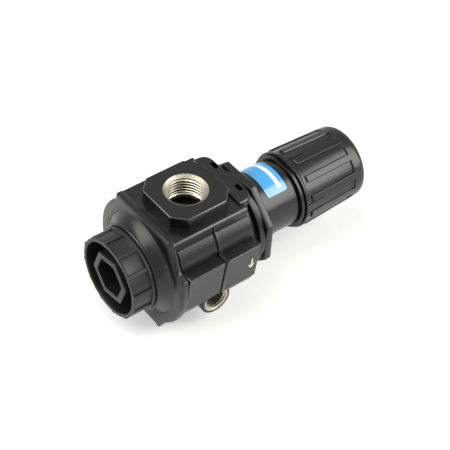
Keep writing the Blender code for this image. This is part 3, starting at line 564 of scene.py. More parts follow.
class Seat:
    """Puts finished pieces into the frame."""

    def __init__(self, left_end: float, knob_end: float) -> None:
        """Work out the drawing's origin from the frame.

        Args:
            left_end: The bottom plug's outer end in the drawing.
            knob_end: The end cap's outer face in the drawing.
        """
        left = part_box("bottom_plug")[0].x / MM
        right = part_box("knob_end_cap")[1].x / MM
        low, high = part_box("body")
        self.shift = Vector(((left + right - left_end - knob_end) / 2, 0.0, (low.z + high.z) / 2 / MM))

    def matrix(self) -> Matrix:
        """The drawing's millimetres to the frame's metres."""
        return Matrix.Scale(MM, 4) @ Matrix.Translation(self.shift)

    def put(self, item: Piece, body: Body, slot: Slot, replaced: Sequence[str] = ()) -> None:
        """Shade a piece smooth, place it and let it ride.

        Args:
            item: The piece, drawn in millimetres.
            body: The body it moves with.
            slot: The record's slot for the piece; not used.
            replaced: CAD nodes that it stands for.
        """
        item.data.transform(self.matrix())
        item.data.shade_smooth()
        item.data.set_sharp_from_angle(angle=math.radians(SHARP_FROM))
        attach(item, body.value)
        if replaced:
            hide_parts(*replaced)
        LOG.info("%s: %d faces on %s", item.name, len(item.data.polygons), body.value)


@dataclass(frozen=True)
class Thread:
    """An internal pipe thread cut in a bore, with its chamfered mouth."""

    name: str
    crest: float
    root: float
    pitch: float
    mouth: float
    chamfer: float
    outer: float
    start: float
    stop: float
    rows_per_turn: int = 12
    steps: int = 96
    flat: float = 1 / 6
    run_out: float = 0.6
    cone_fit: float = 0.03

    def cone(self, place: float) -> float:
        """Radius of the chamfer's cone at a place along the axis."""
        return self.mouth - (self.stop - place) * (self.mouth - self.crest) / self.chamfer

    def radius(self, place: float, phase: float) -> float:
        """Radius of the surface at a place along the axis and a phase of the thread's section."""
        tooth = 1 - abs(2 * (phase % 1.0) - 1)
        height = min(1.0, max(0.0, (tooth - self.flat) / (1 - 2 * self.flat)))
        run_out = min(1.0, max(0.0, (place - self.start - self.pitch * self.run_out) / self.pitch))
        return max(self.crest + (self.root - self.crest) * height * run_out, self.cone(place))

    def corner(self, row: int, step: int) -> Corner:
        """A point of the helical surface, held between the sleeve's two ends."""
        climb = (row / self.rows_per_turn - 1 + step / self.steps) * self.pitch
        place = min(max(self.start + climb, self.start), self.stop)
        radius = self.radius(place, row / self.rows_per_turn)
        turn = math.tau * step / self.steps
        return place, radius * math.cos(turn), radius * math.sin(turn)

    def build(self, axis: Corner, place: Corner = (0, 0, 0)) -> Piece:
        """Make the threaded sleeve; its rows of faces follow the helix.

        Args:
            axis: The way the mouth faces.
            place: A point on the bore's axis.

        Returns:
            The sleeve as one closed ring.
        """
        lead = self.rows_per_turn
        count = math.ceil((self.stop - self.start) / self.pitch + 2) * lead
        shape = bmesh.new()
        grid = [
            [shape.verts.new(self.corner(row, step)) for step in range(self.steps)]
            for row in range(count + 1)]
        turns = [math.tau * step / self.steps for step in range(self.steps)]
        high, low = (
            [
                shape.verts.new((end, self.outer * math.cos(turn), self.outer * math.sin(turn)))
                for turn in turns] for end in (self.stop, self.start))
        for row in range(count):
            for step in range(self.steps):
                after = (step + 1) % self.steps
                over = row if after else row + lead
                if over < count:
                    face = shape.faces.new(
                        (grid[row][step], grid[over][after], grid[over + 1][after], grid[row + 1][step]))
                    middle = face.calc_center_median()
                    radius = math.hypot(middle.y, middle.z)
                    face.material_index = int(self.cone(middle.x) > radius - self.cone_fit)
        for step in range(self.steps):
            after = (step + 1) % self.steps
            for first, second in ((grid[count], high), (high, low), (low, grid[0])):
                shape.faces.new((first[step], first[after], second[after], second[step]))
        bmesh.ops.remove_doubles(shape, verts=shape.verts, dist=FINE_WELD)
        sleeve = add_shape(self.name, shape, CUT_ZINC)
        sleeve.data.materials.append(TURNED_ZINC.build())
        return aimed(sleeve, axis, place)


@dataclass
class Casting:
    """The painted die casting with its ports, pads, end plate, nose, seam and flow arrow."""

    port_face: float = 35.5
    pad_half: float = 18.0
    pad_corner: float = 6.6
    pad_rounding: float = 0.5
    pad_ease: float = 0.45
    low_half_width: float = 9.5
    low_corner: float = 2.4
    low_round: float = 13.5
    low_root: float = 24.4
    block_top: float = 29.2
    block_half_width: float = 22.9
    block_ease: float = 0.75
    block_gap: float = 0.3
    left: float = -22.4
    right: float = 22.0
    barrel: float = 30.5
    barrel_draft: float = 0.4
    barrel_chamfer: float = 0.6
    panel_centre: Point = (11.5, 11.3)
    panel_radius: float = 16.8
    panel_start: float = 47.1
    panel_stop: float = 5.1
    panel_gap: float = 0.5
    panel_ease: float = 0.3
    ledge_z: float = 12.8
    ledge_reach: float = 34.6
    foot_z: float = 11.4
    foot_reach: float = 31.6
    foot_step: float = 0.6
    side_ease: float = 0.5
    swell_gap: float = 0.8
    swell_stop: float = 56.0
    swell_floor: float = 0.85
    plate_left: float = -27.0
    plate_top: float = 30.9
    plate_half_width: float = 22.0
    plate_shoulder: Point = (0.6, 2.2)
    plate_side: float = 34.2
    plate_round: Point = (188.0, 231.0)
    plate_step: float = 32.0
    step_lean: float = 3.0
    plate_foot: float = 34.5
    plate_foot_half: float = 15.5
    plate_ease: float = 1.3
    lug_size: Corner = (3.5, 2.6, 35.4)
    lug_inset: float = 0.6
    lug_ease: float = 0.3
    nose_end: float = -33.4
    nose_chamfer: float = 0.5
    nose_tip: float = 23.6
    nose_root: float = 28.0
    nose_bend: float = 1.9
    cove: Point = (0.4, 1.2)
    tab_left: float = 19.0
    tab_right: float = 27.6
    tab_half_width: float = 19.3
    tab_corner: float = 5.5
    tab_top: float = 30.7
    tab_height: float = 5.5
    tab_ease: float = 0.4
    ridge_inset: Point = (1.6, 0.3)
    ridge_sides: Point = (-0.5, 0.1)
    ridge_rise: float = 0.25
    ridge_ease: float = 0.12
    pocket: Corner = (2.6, 4.8, 3.6)
    pocket_wall: float = 0.7
    pocket_offset: float = 10.0
    plug_bore: float = 19.0
    chamber: tuple[Point, ...] = ((-23.4, 16.6), (-4.2, 7.4), (1.6, 14.0), (17.6, 24.8))
    bore: float = 11.4
    port_floor: float = 19.2
    port_drill: float = 9.4
    sleeve_start: float = 21.6
    sleeve_fit: float = 0.02
    sleeve_sink: float = 0.05
    passage: float = 5.6
    passage_root: float = 7.0
    passage_over: float = 1.4
    passage_offset: float = 9.6
    gauge_face: float = 28.4
    gauge_boss: float = 8.9
    boss_chamfer: float = 0.5
    gauge_bore: float = 7.3
    gauge_drill: float = 5.7
    gauge_start: float = 12.2
    seam_drop: float = 1.2
    seam_groove: float = 0.7
    seam_ridge: float = 1.7
    seam_rise: float = 0.4
    seam_depth: float = 0.45
    seam_return: float = 4.0
    seam_ease: float = 0.15
    arrow_head: float = 2.1
    arrow_shaft: float = 0.55
    arrow_length: float = 7.2
    arrow_barb: float = 3.2
    arrow_sweep: float = 0.5
    arrow_rounding: float = 0.3
    arrow_root: float = 0.3
    arrow_rise: float = 0.45
    arrow_ease: float = 0.18
    arrow_x: float = 17.4
    arrow_z: float = 0.8

    def nose_and_barrel(self) -> Piece:
        """The turned core: a hollow-sided nose that flares to the plate, and the barrel."""
        start = self.nose_end + self.nose_chamfer
        swing = self.nose_root - self.nose_tip
        flare = [
            (start + (self.plate_left - start) * share, self.nose_tip + swing * share ** self.nose_bend)
            for share in (index / 10 for index in range(11))]
        long, high = self.cove
        cove = [
            (self.plate_left - long + long * math.sin(turn), self.nose_root + high * (1 - math.cos(turn)))
            for turn in (math.radians(30 * index) for index in range(1, 4))]
        profile = [(self.nose_end, 0.0), (self.nose_end, self.nose_tip - self.nose_chamfer)] + flare + cove
        profile += [
            (self.plate_left + BITE, self.barrel - self.barrel_draft),
            (self.right - self.barrel_chamfer, self.barrel), (self.right, self.barrel - self.barrel_chamfer),
            (self.right, 0.0)]
        return turned("casting_dressed", profile, PAINT, 144)

    def plate_outline(self) -> list[Point]:
        """The plate's corners (y, z): stepped at -Y, round at +Y, with a flat foot."""
        turn = math.asin(self.ledge_z / self.plate_step) + math.radians(self.step_lean)
        out, down = self.plate_shoulder
        near = [
            (-self.plate_half_width, self.plate_top), (-self.plate_half_width - out, self.block_top - down),
            (-self.plate_step * math.cos(turn), self.plate_step * math.sin(turn)),
            (-self.plate_side, self.ledge_z)]
        near += arc((0, 0), self.plate_side, *self.plate_round, 8)
        foot = [(-self.plate_foot_half, -self.plate_foot), (self.plate_foot_half, -self.plate_foot)]
        foot_turn = math.degrees(math.acos(self.plate_foot_half / self.ledge_reach))
        top_turn = math.degrees(math.acos(self.plate_half_width / self.ledge_reach))
        far = arc((0, 0), self.ledge_reach, -foot_turn, top_turn, 32)
        return near + foot + far + [(self.plate_half_width, self.plate_top)]

    def pad_outline(self, side: int) -> list[Point]:
        """The top pad is square with chamfered corners; the bottom one is a round boss with two ears."""
        near = self.pad_half
        if side > 0:
            far = near - self.pad_corner
            corners = [
                (near, -far), (near, far), (far, near), (-far, near),
                (-near, far), (-near, -far), (-far, -near), (far, -near)]
            return rounded(corners, self.pad_rounding, 2)
        half = self.low_half_width
        turn = math.degrees(math.asin(half / self.low_round))
        edge = [
            (near, self.low_corner - half), (near, half - self.low_corner), (near - self.low_corner, half)]
        edge += arc((0, 0), self.low_round, turn, 180 - turn, 24) + [(self.low_corner - near, half)]
        return edge + [(-x, -y) for x, y in edge]

    def pad(self, side: int) -> Piece:
        """A port pad, on the top or the bottom."""
        foot = self.block_top - PROUD if side > 0 else -self.low_root
        outline = [(x, y, foot) for x, y in self.pad_outline(side)]
        return chamfered(
            extruded("pad", outline, (0, 0, side * self.port_face - foot), PAINT), self.pad_ease, 60)

    def beside(self, name: str, outline: Sequence[Point], side: int) -> Piece:
        """Extrude an outline (y, z) on one side along the casting, a gap short of the plate."""
        return prism_x(
            name, [(side * y, z) for y, z in outline], self.left + self.panel_gap, self.right, PAINT)

    def side_pad(self, side: int) -> Piece:
        """A side pad with a ledge above, which swells on into a round underside."""
        inside = self.barrel / 2
        outline = [(inside, self.ledge_z), (self.ledge_reach, self.ledge_z), (self.foot_reach, -self.foot_z)]
        swell = math.hypot(self.foot_reach, self.foot_z) - self.foot_step
        start = math.degrees(math.atan2(self.foot_z, self.foot_reach))
        outline += arc((0, 0), swell, -start - self.swell_gap, -self.swell_stop, 16)
        outline.append((inside, -self.barrel * self.swell_floor))
        return chamfered(self.beside("side_pad", outline, side), self.side_ease, 40)

    def panel(self, side: int) -> Piece:
        """The bulged panel between the block and a side pad."""
        outline = arc(self.panel_centre, self.panel_radius, self.panel_start, self.panel_stop, 14)
        outline += [(self.barrel / 2, self.ledge_z - BITE), (self.barrel / 2, self.block_top / 2)]
        return chamfered(self.beside("panel", outline, side), self.panel_ease, 50)

    def boss(self, side: int) -> Piece:
        """The round boss of a gauge port."""
        face, chamfer = self.gauge_face, self.boss_chamfer
        profile = [
            (0, 0.0), (0, self.gauge_boss), (face - chamfer, self.gauge_boss),
            (face, self.gauge_boss - chamfer), (face, 0.0)]
        return aimed(turned("boss", profile, PAINT, 72), (0, side, 0), (0, 0, GAUGE_Z))

    def foot_lug(self, side: int) -> Piece:
        """A small lug under one corner of the plate's foot."""
        long, wide, reach = self.lug_size
        left = self.plate_left + self.lug_inset
        low, high = sorted((side * self.plate_foot_half, side * (self.plate_foot_half - wide)))
        return eased(
            box("lug", (left, low, -reach), (left + long, high, PROUD - reach), PAINT), self.lug_ease, 2)

    def tab(self) -> Piece:
        """The raised tab at the bonnet end."""
        centre = (self.tab_right - self.tab_corner, self.tab_half_width - self.tab_corner)
        high = arc(centre, self.tab_corner, 90, 0, 8)
        low = [(x, -y) for x, y in reversed(high)]
        outline = [(self.tab_left, self.tab_half_width)] + high + low
        outline.append((self.tab_left, -self.tab_half_width))
        foot = self.tab_top - self.tab_height
        tab = extruded("tab", [(x, y, foot) for x, y in outline], (0, 0, self.tab_height), PAINT)
        return chamfered(tab, self.tab_ease, 50)

    def tab_ridge(self) -> Piece:
        """The low ridge across the tab, in line with the ports."""
        low = (self.right + self.ridge_inset[0], self.ridge_sides[0], self.tab_top - BITE)
        high = (self.tab_right - self.ridge_inset[1], self.ridge_sides[1], self.tab_top + self.ridge_rise)
        return eased(box("ridge", low, high, PAINT), self.ridge_ease, 2)

    def forms(self) -> Iterator[Piece]:
        """Make the block, plate, panels, pads, bosses and tab one by one, for joining to the core."""
        block = box(
            "block", (self.left - PROUD, -self.block_half_width, 0),
            (self.right - self.block_gap, self.block_half_width, self.block_top), PAINT)
        yield chamfered(block, self.block_ease, 40)
        plate = prism_x("plate", self.plate_outline(), self.plate_left, self.left, PAINT)
        yield eased(plate, self.plate_ease, 2)
        for side in (-1, 1):
            for make in (self.panel, self.foot_lug, self.side_pad, self.boss, self.pad):
                yield make(side)
        yield self.tab()
        yield self.tab_ridge()

    def side_outline(self, side: int, grow: float) -> list[Point]:
        """The visible side's outline (y, z) from the block's top edge to under the side pad."""
        panel = arc(self.panel_centre, self.panel_radius + grow, self.panel_start, self.panel_stop, 6)
        ledge, foot = self.ledge_z + grow, -self.foot_z - grow
        points = [(self.block_half_width + grow, self.block_top - self.seam_drop)]
        points += [(y, z) for y, z in panel if z > ledge]
        points += [
            (panel[-1][0], ledge), (self.ledge_reach + grow, ledge), (self.foot_reach + grow, foot),
            (self.foot_reach - self.seam_return, foot)]
        return [(side * y, z) for y, z in points]

    def add_seam(self, body: Piece, side: int) -> None:
        """The die's parting seam: a groove with a ridge beside it, over ledge and panels."""
        inside = self.side_outline(side, -PROUD)[::-1]
        ridge = prism_x(
            "ridge", self.side_outline(side, self.seam_rise) + inside, 0.0, self.seam_ridge, PAINT)
        work(body, eased(ridge, self.seam_ease, 2, 60), Joining.JOIN)
        floor = self.side_outline(side, -self.seam_depth)[::-1]
        groove = prism_x("groove", self.side_outline(side, PROUD) + floor, -self.seam_groove, 0.0, PAINT)
        work(body, groove, Joining.CUT)

    def arrow(self) -> Piece:
        """The raised flow arrow on the side that faces -Y, ground bare and leaning with the side pad."""
        tail, tip = self.arrow_length / 2, -self.arrow_length / 2
        barb = tip + self.arrow_barb
        edge = [
            (self.arrow_head, barb), (self.arrow_shaft, barb - self.arrow_sweep), (self.arrow_shaft, tail)]
        outline = rounded([(0, tip)] + edge + [(-x, z) for x, z in reversed(edge)], self.arrow_rounding, 2)
        item = extruded(
            "flow_arrow", [(x, self.arrow_root, z) for x, z in outline],
            (0, -self.arrow_root - self.arrow_rise, 0), GROUND_ZINC)
        eased(item, self.arrow_ease, 2, 50)
        slope, height = self.ledge_reach - self.foot_reach, self.ledge_z + self.foot_z
        reach = self.ledge_reach - slope * (self.ledge_z - self.arrow_z) / height
        lean = Matrix.Rotation(math.atan2(slope, height), 4, "X")
        item.data.transform(Matrix.Translation((self.arrow_x, -reach, self.arrow_z)) @ lean)
        return item

    def cut_bores(self, body: Piece) -> None:
        """Cut the through bore, the tab's pockets, the ports and the passages.

        Args:
            body: The casting, with all its forms joined.
        """
        stations = ((self.nose_end - PROUD, self.plug_bore),) + self.chamber
        drill(body, stations, self.right + PROUD, CUT_ZINC, 96)
        long, wide, deep = self.pocket
        right = self.tab_right - self.pocket_wall
        for offset in (-self.pocket_offset, self.pocket_offset):
            pocket = box(
                "pocket", (right - long, offset - wide / 2, self.tab_top - deep),
                (right, offset + wide / 2, self.tab_top + PROUD), PAINT)
            work(body, pocket, Joining.CUT)
        for side in (-1, 1):
            drill(
                body, ((self.port_floor, self.port_drill), (self.sleeve_start, self.bore)),
                self.port_face + PROUD, PAINT, 96, (0, 0, side))
            drill(
                body, ((self.port_drill - BITE, self.gauge_drill), (self.gauge_start, self.gauge_bore)),
                self.gauge_face + PROUD, PAINT, 64, (0, side, 0), (0, 0, GAUGE_Z))
            drill(
                body, ((self.passage_root, self.passage),), self.port_floor + self.passage_over, PAINT, 48,
                (0, 0, side), (-side * self.passage_offset, 0, 0))

    def add_threads(self, seat: Seat) -> None:
        """Line the four ports with their threads."""
        for side, where in ((1, "inlet"), (-1, "outlet")):
            thread = Thread(
                where + "_thread", crest=9.32, root=10.48, pitch=1.814, mouth=11.2, chamfer=2.1,
                outer=self.bore + self.sleeve_fit, start=self.sleeve_start - self.sleeve_fit,
                stop=self.port_face - self.sleeve_sink)
            seat.put(thread.build((0, 0, side)), Body.HOUSING, Slot.PAINT)
        for side, where in ((-1, "front"), (1, "rear")):
            thread = Thread(
                where + "_gauge_thread", crest=5.72, root=6.58, pitch=1.337, mouth=6.8, chamfer=0.7,
                outer=self.gauge_bore + self.sleeve_fit, start=self.gauge_start - self.sleeve_fit,
                stop=self.gauge_face - self.sleeve_sink, steps=64)
            seat.put(thread.build((0, side, 0), (0, 0, GAUGE_Z)), Body.HOUSING, Slot.PAINT)

    def build(self, seat: Seat) -> None:
        """Make the casting and its threads and arrow."""
        body = self.nose_and_barrel()
        for form in self.forms():
            work(body, form, Joining.JOIN)
        for side in (-1, 1):
            self.add_seam(body, side)
        self.cut_bores(body)
        seat.put(body, Body.HOUSING, Slot.PAINT, ["body"])
        seat.put(self.arrow(), Body.HOUSING, Slot.PAINT)
        self.add_threads(seat)


@dataclass
class RearGaugePlug:
    """The socket-head plug in the gauge port that the photograph hides."""

    outer: float = 25.7
    length: float = 8.0
    radius: float = 5.6
    rounding: float = 0.6
    socket_flats: float = 6.0
    cone: tuple[Point, ...] = ((-0.5, 0.0), (-0.5, 2.9), (0.5, 4.1), (0.5, 0.0))

    def build(self, seat: Seat) -> None:
        """Turn the plug, sink its hexagon socket and countersink it."""
        profile = rounded(
            stepped(((self.outer - self.length, self.radius),), self.outer), self.rounding, 3, False)
        plug = turned("rear_plug_dressed", profile, STEEL, 64)
        socket = prism_x(
            "socket", polygon(6, self.socket_flats), self.outer - self.length / 2, self.outer + PROUD, STEEL)
        work(plug, socket, Joining.CUT)
        cone = [(self.outer + x, radius) for x, radius in self.cone]
        work(plug, turned("cone", cone, STEEL, 48), Joining.CUT)
        aimed(plug, (0, 1, 0), (0, 0, GAUGE_Z))
        seat.put(plug, Body.HOUSING, Slot.STEEL, ["rear_gauge_plug"])


@dataclass
class BottomPlug:
    """The moulded plug: ribbed ring, hexagonal tube with a socket, spigot and post."""

    end: float = -46.4
    rim: float = 21.8
    panel: float = 21.3
    wall: float = 1.5
    ridge: float = 22.6
    ribs: int = 12
    rib_width: float = 2.3
    rib_foot: Point = (0.15, 0.8)
    rib_drop: float = 0.3
    rib_rounding: float = 0.35
    rib_ends: Point = (0.1, 0.5)
    rim_band: float = 0.8
    step: float = 0.3
    shoulder: float = -33.7
    lip_length: float = 1.9
    floor_depth: float = 2.0
    hex_flats: float = 24.8
    socket_flats: float = 18.6
    hex_sink: float = 0.5
    socket_depth: float = 8.4
    hex_turn: float = math.radians(-10)
    hex_rounding: float = 0.8
    hex_ease: float = 0.25
    socket_rounding: float = 0.6
    spigot: float = 18.7
    spigot_end: float = -24.5
    groove: Corner = (-29.7, -27.4, 17.1)
    post: Point = (-18.9, 7.0)
    guide: Point = (-27.9, 3.3)

    def profile(self) -> list[Point]:
        """Section of the turned part, from its outer face in to the post."""
        inner = self.panel - self.wall
        floor = self.shoulder - self.floor_depth
        lip = self.shoulder - self.lip_length
        band = self.end + self.rim_band
        outer = [
            (floor, inner), (self.end, inner), (self.end, self.rim), (band, self.rim),
            (band + self.step, self.panel), (lip - self.step, self.panel), (lip, self.ridge),
            (self.shoulder, self.ridge), (self.shoulder, self.spigot)]
        groove_left, groove_right, root = self.groove
        post_end, post = self.post
        guide_floor, guide = self.guide
        inside = [
            (groove_left, self.spigot), (groove_left, root), (groove_right, root),
            (groove_right, self.spigot), (self.spigot_end, self.spigot), (self.spigot_end, post),
            (post_end, post), (post_end, guide), (guide_floor, guide), (guide_floor, 0.0)]
        return [(floor, 0.0)] + rounded(outer, self.step, 3, False) + inside

    def rib(self, angle: float) -> Piece:
        """One grip rib with rounded long edges."""
        half = self.rib_width / 2
        draft, root = self.rib_foot
        top = self.ridge - self.rib_drop
        left = self.end + self.rib_ends[0]
        right = self.shoulder - self.lip_length + self.rib_ends[1]
        low = self.panel - root
        section = [(-half - draft, low), (-half, top), (half, top), (half + draft, low)]
        section = rounded(section, self.rib_rounding, 3)
        return rolled(prism_x("rib", section, left, right, ACETAL), angle)

    def build(self, seat: Seat) -> None:
        """Join ribs and hexagon to the ring and sink the socket."""
        plug = turned("bottom_plug_dressed", self.profile(), ACETAL, 144)
        for angle in around(self.ribs, self.hex_turn):
            work(plug, self.rib(angle), Joining.JOIN)
        outside = rounded(polygon(6, self.hex_flats, self.hex_turn), self.hex_rounding, 3)
        floor = self.shoulder - self.floor_depth + self.step
        hexagon = prism_x("hexagon", outside, self.end + self.hex_sink, floor, ACETAL)
        work(plug, eased(hexagon, self.hex_ease, 2, 60), Joining.JOIN)
        inside = rounded(polygon(6, self.socket_flats, self.hex_turn), self.socket_rounding, 3)
        socket = prism_x("socket", inside, self.end - PROUD, self.end + self.socket_depth, ACETAL)
        work(plug, socket, Joining.CUT)
        seat.put(plug, Body.PLUG, Slot.MOULDED, ["bottom_plug"])


@dataclass
class Bonnet:
    """The bonnet with its collar, octagon and neck, the ring with two flats and the label."""

    left: float = 19.4
    chamber: float = 14.8
    waist: float = 24.2
    collar_left: float = 28.4
    collar: float = 26.9
    octagon_left: float = 32.2
    octagon_right: float = 36.1
    octagon_flats: float = 54.3
    octagon_ease: float = 0.6
    octagon_root: float = 1.8
    collar_rounding: float = 0.6
    web: float = 4.0
    neck: float = 18.4
    neck_fillet: float = 2.0
    neck_step: float = 61.5
    neck_inner: float = 17.4
    end: float = 78.0
    shank: float = 5.3
    roof_left: float = 73.0
    ring_right: float = 63.9
    ring: float = 20.4
    ring_flat: float = 18.9
    step: float = 0.3
    label_left: float = 44.4
    label_right: float = 57.2
    label_start: float = 49.5
    label_stop: float = 180.5
    label_corner: float = 1.3
    label_rows: Point = (0.1, 1.5)
    label_gap: float = 0.02
    label_outside: float = 0.3
    panel_stop: float = 65.0
    stripe_left: float = 52.3
    stripe_right: float = 54.6
    stripe_start: float = 57.0

    def profile(self) -> list[Point]:
        """Section of the turned bonnet."""
        right = self.octagon_right
        low = self.neck_fillet
        fillet = [
            (right + low * (1 - math.cos(turn)), self.neck + low * (1 - math.sin(turn)))
            for turn in (math.radians(15 * index) for index in range(7))]
        collar = [
            (self.collar_left, self.waist), (self.collar_left, self.collar), (self.octagon_left, self.collar)]
        collar = rounded(collar, self.collar_rounding, 3, False)
        web = [
            (self.octagon_left, self.neck + self.web), (right - self.step, self.neck + self.web),
            (right - self.step, fillet[0][1])]
        neck = [
            (self.neck_step - self.step, self.neck), (self.neck_step, self.neck - self.step),
            (self.neck_step, self.neck_inner), (self.end, self.neck_inner), (self.end, self.shank),
            (self.roof_left, self.shank), (self.roof_left, self.chamber)]
        return [(self.left, self.chamber), (self.left, self.waist)] + collar + web + fillet + neck

    def build_shell(self, seat: Seat) -> None:
        """Turn the bonnet and join its octagonal wrench flange."""
        bonnet = turned("bonnet_dressed", self.profile(), NYLON, 144)
        octagon = prism_x(
            "octagon", polygon(8, self.octagon_flats, math.pi / 8), self.octagon_left - self.step,
            self.octagon_right, NYLON)
        eased(octagon, self.octagon_ease, 3)
        drill(
            octagon, ((self.octagon_left - PROUD, self.neck - self.octagon_root),),
            self.octagon_right + PROUD, NYLON, 96)
        work(bonnet, octagon, Joining.JOIN)
        seat.put(bonnet, Body.HOUSING, Slot.BONNET, ["bonnet"])

    def build_ring(self, seat: Seat) -> None:
        """Turn the ring and mill its two flats."""
        left, right = self.neck_step + self.step, self.ring_right
        inner = self.neck_inner + self.step
        section = rounded(
            [(left, inner), (left, self.ring), (right, self.ring), (right, inner)], self.step, 3)
        ring = turned("neck_ring_dressed", section, NYLON, 144)
        for side in (-1, 1):
            low, high = sorted((side * self.ring_flat, side * (self.ring + PROUD)))
            flat = box("flat", (left - PROUD, -self.ring, low), (right + PROUD, self.ring, high), NYLON)
            work(ring, flat, Joining.CUT)
        seat.put(ring, Body.HOUSING, Slot.MOULDED, ["neck_collar"])

    def label_ink(self, place: float, turn: float) -> int:
        """Which of the three inks prints the label at a place along it and an angle round it."""
        if self.stripe_left < place < self.stripe_right and turn > self.stripe_start:
            return 2
        return 1 if turn < self.panel_stop else 0

    def label_edge(self, place: float) -> float:
        """Where the label starts at a place along it, in degrees: its lower corners are round."""
        corner = self.label_corner
        inset = max(0.0, corner - min(place - self.label_left, self.label_right - place))
        drop = corner - math.sqrt(max(0.0, corner ** 2 - inset ** 2))
        return self.label_start + math.degrees(drop / self.neck)

    def build_label(self, seat: Seat) -> None:
        """Wrap the film round the neck as a thin closed shell, inked face by face.

        Args:
            seat: Puts the label into the frame.
        """
        count = 48
        first, growth = self.label_rows
        insets = [first * index ** growth for index in range(6)]
        places = sorted(
            {self.label_left + inset for inset in insets} | {self.label_right - inset for inset in insets}
            | {self.stripe_left, self.stripe_right, (self.label_left + self.label_right) / 2})
        sweep = self.label_stop - self.panel_stop
        turns = [self.stripe_start, self.panel_stop]
        turns += [self.panel_stop + sweep * (index + 1) / count for index in range(count)]
        shape = bmesh.new()

        def row(place: float, radius: float) -> list[bmesh.types.BMVert]:
            """One row of points round the neck."""
            run = [self.label_edge(place)] + turns
            return [
                shape.verts.new(
                    (place, -radius * math.cos(math.radians(turn)), radius * math.sin(math.radians(turn))))
                for turn in run]

        tops = [row(place, self.neck + self.label_outside) for place in places]
        backs = [row(place, self.neck + self.label_gap) for place in places]
        last = len(turns)
        for index in range(len(places) - 1):
            middle = (places[index] + places[index + 1]) / 2
            for step in range(last):
                before = self.label_start if step == 0 else turns[step - 1]
                number = self.label_ink(middle, (before + turns[step]) / 2)
                for sheet in (tops, backs):
                    here, there = sheet[index], sheet[index + 1]
                    face = shape.faces.new((here[step], here[step + 1], there[step + 1], there[step]))
                    face.material_index = number
            for edge in (0, last):
                shape.faces.new(
                    (tops[index][edge], tops[index + 1][edge], backs[index + 1][edge], backs[index][edge]))
        for side in (0, len(places) - 1):
            for step in range(last):
                shape.faces.new(
                    (tops[side][step], tops[side][step + 1], backs[side][step + 1], backs[side][step]))
        label = add_shape("label_dressed", shape, FILM_BLUE)
        for film in (FILM_PALE, FILM_WHITE):
            label.data.materials.append(film.build())
        seat.put(label, Body.HOUSING, Slot.LABEL, ["label"])

    def build(self, seat: Seat) -> None:
        """Make the bonnet, ring and label."""
        self.build_shell(seat)
        self.build_ring(seat)
        self.build_label(seat)


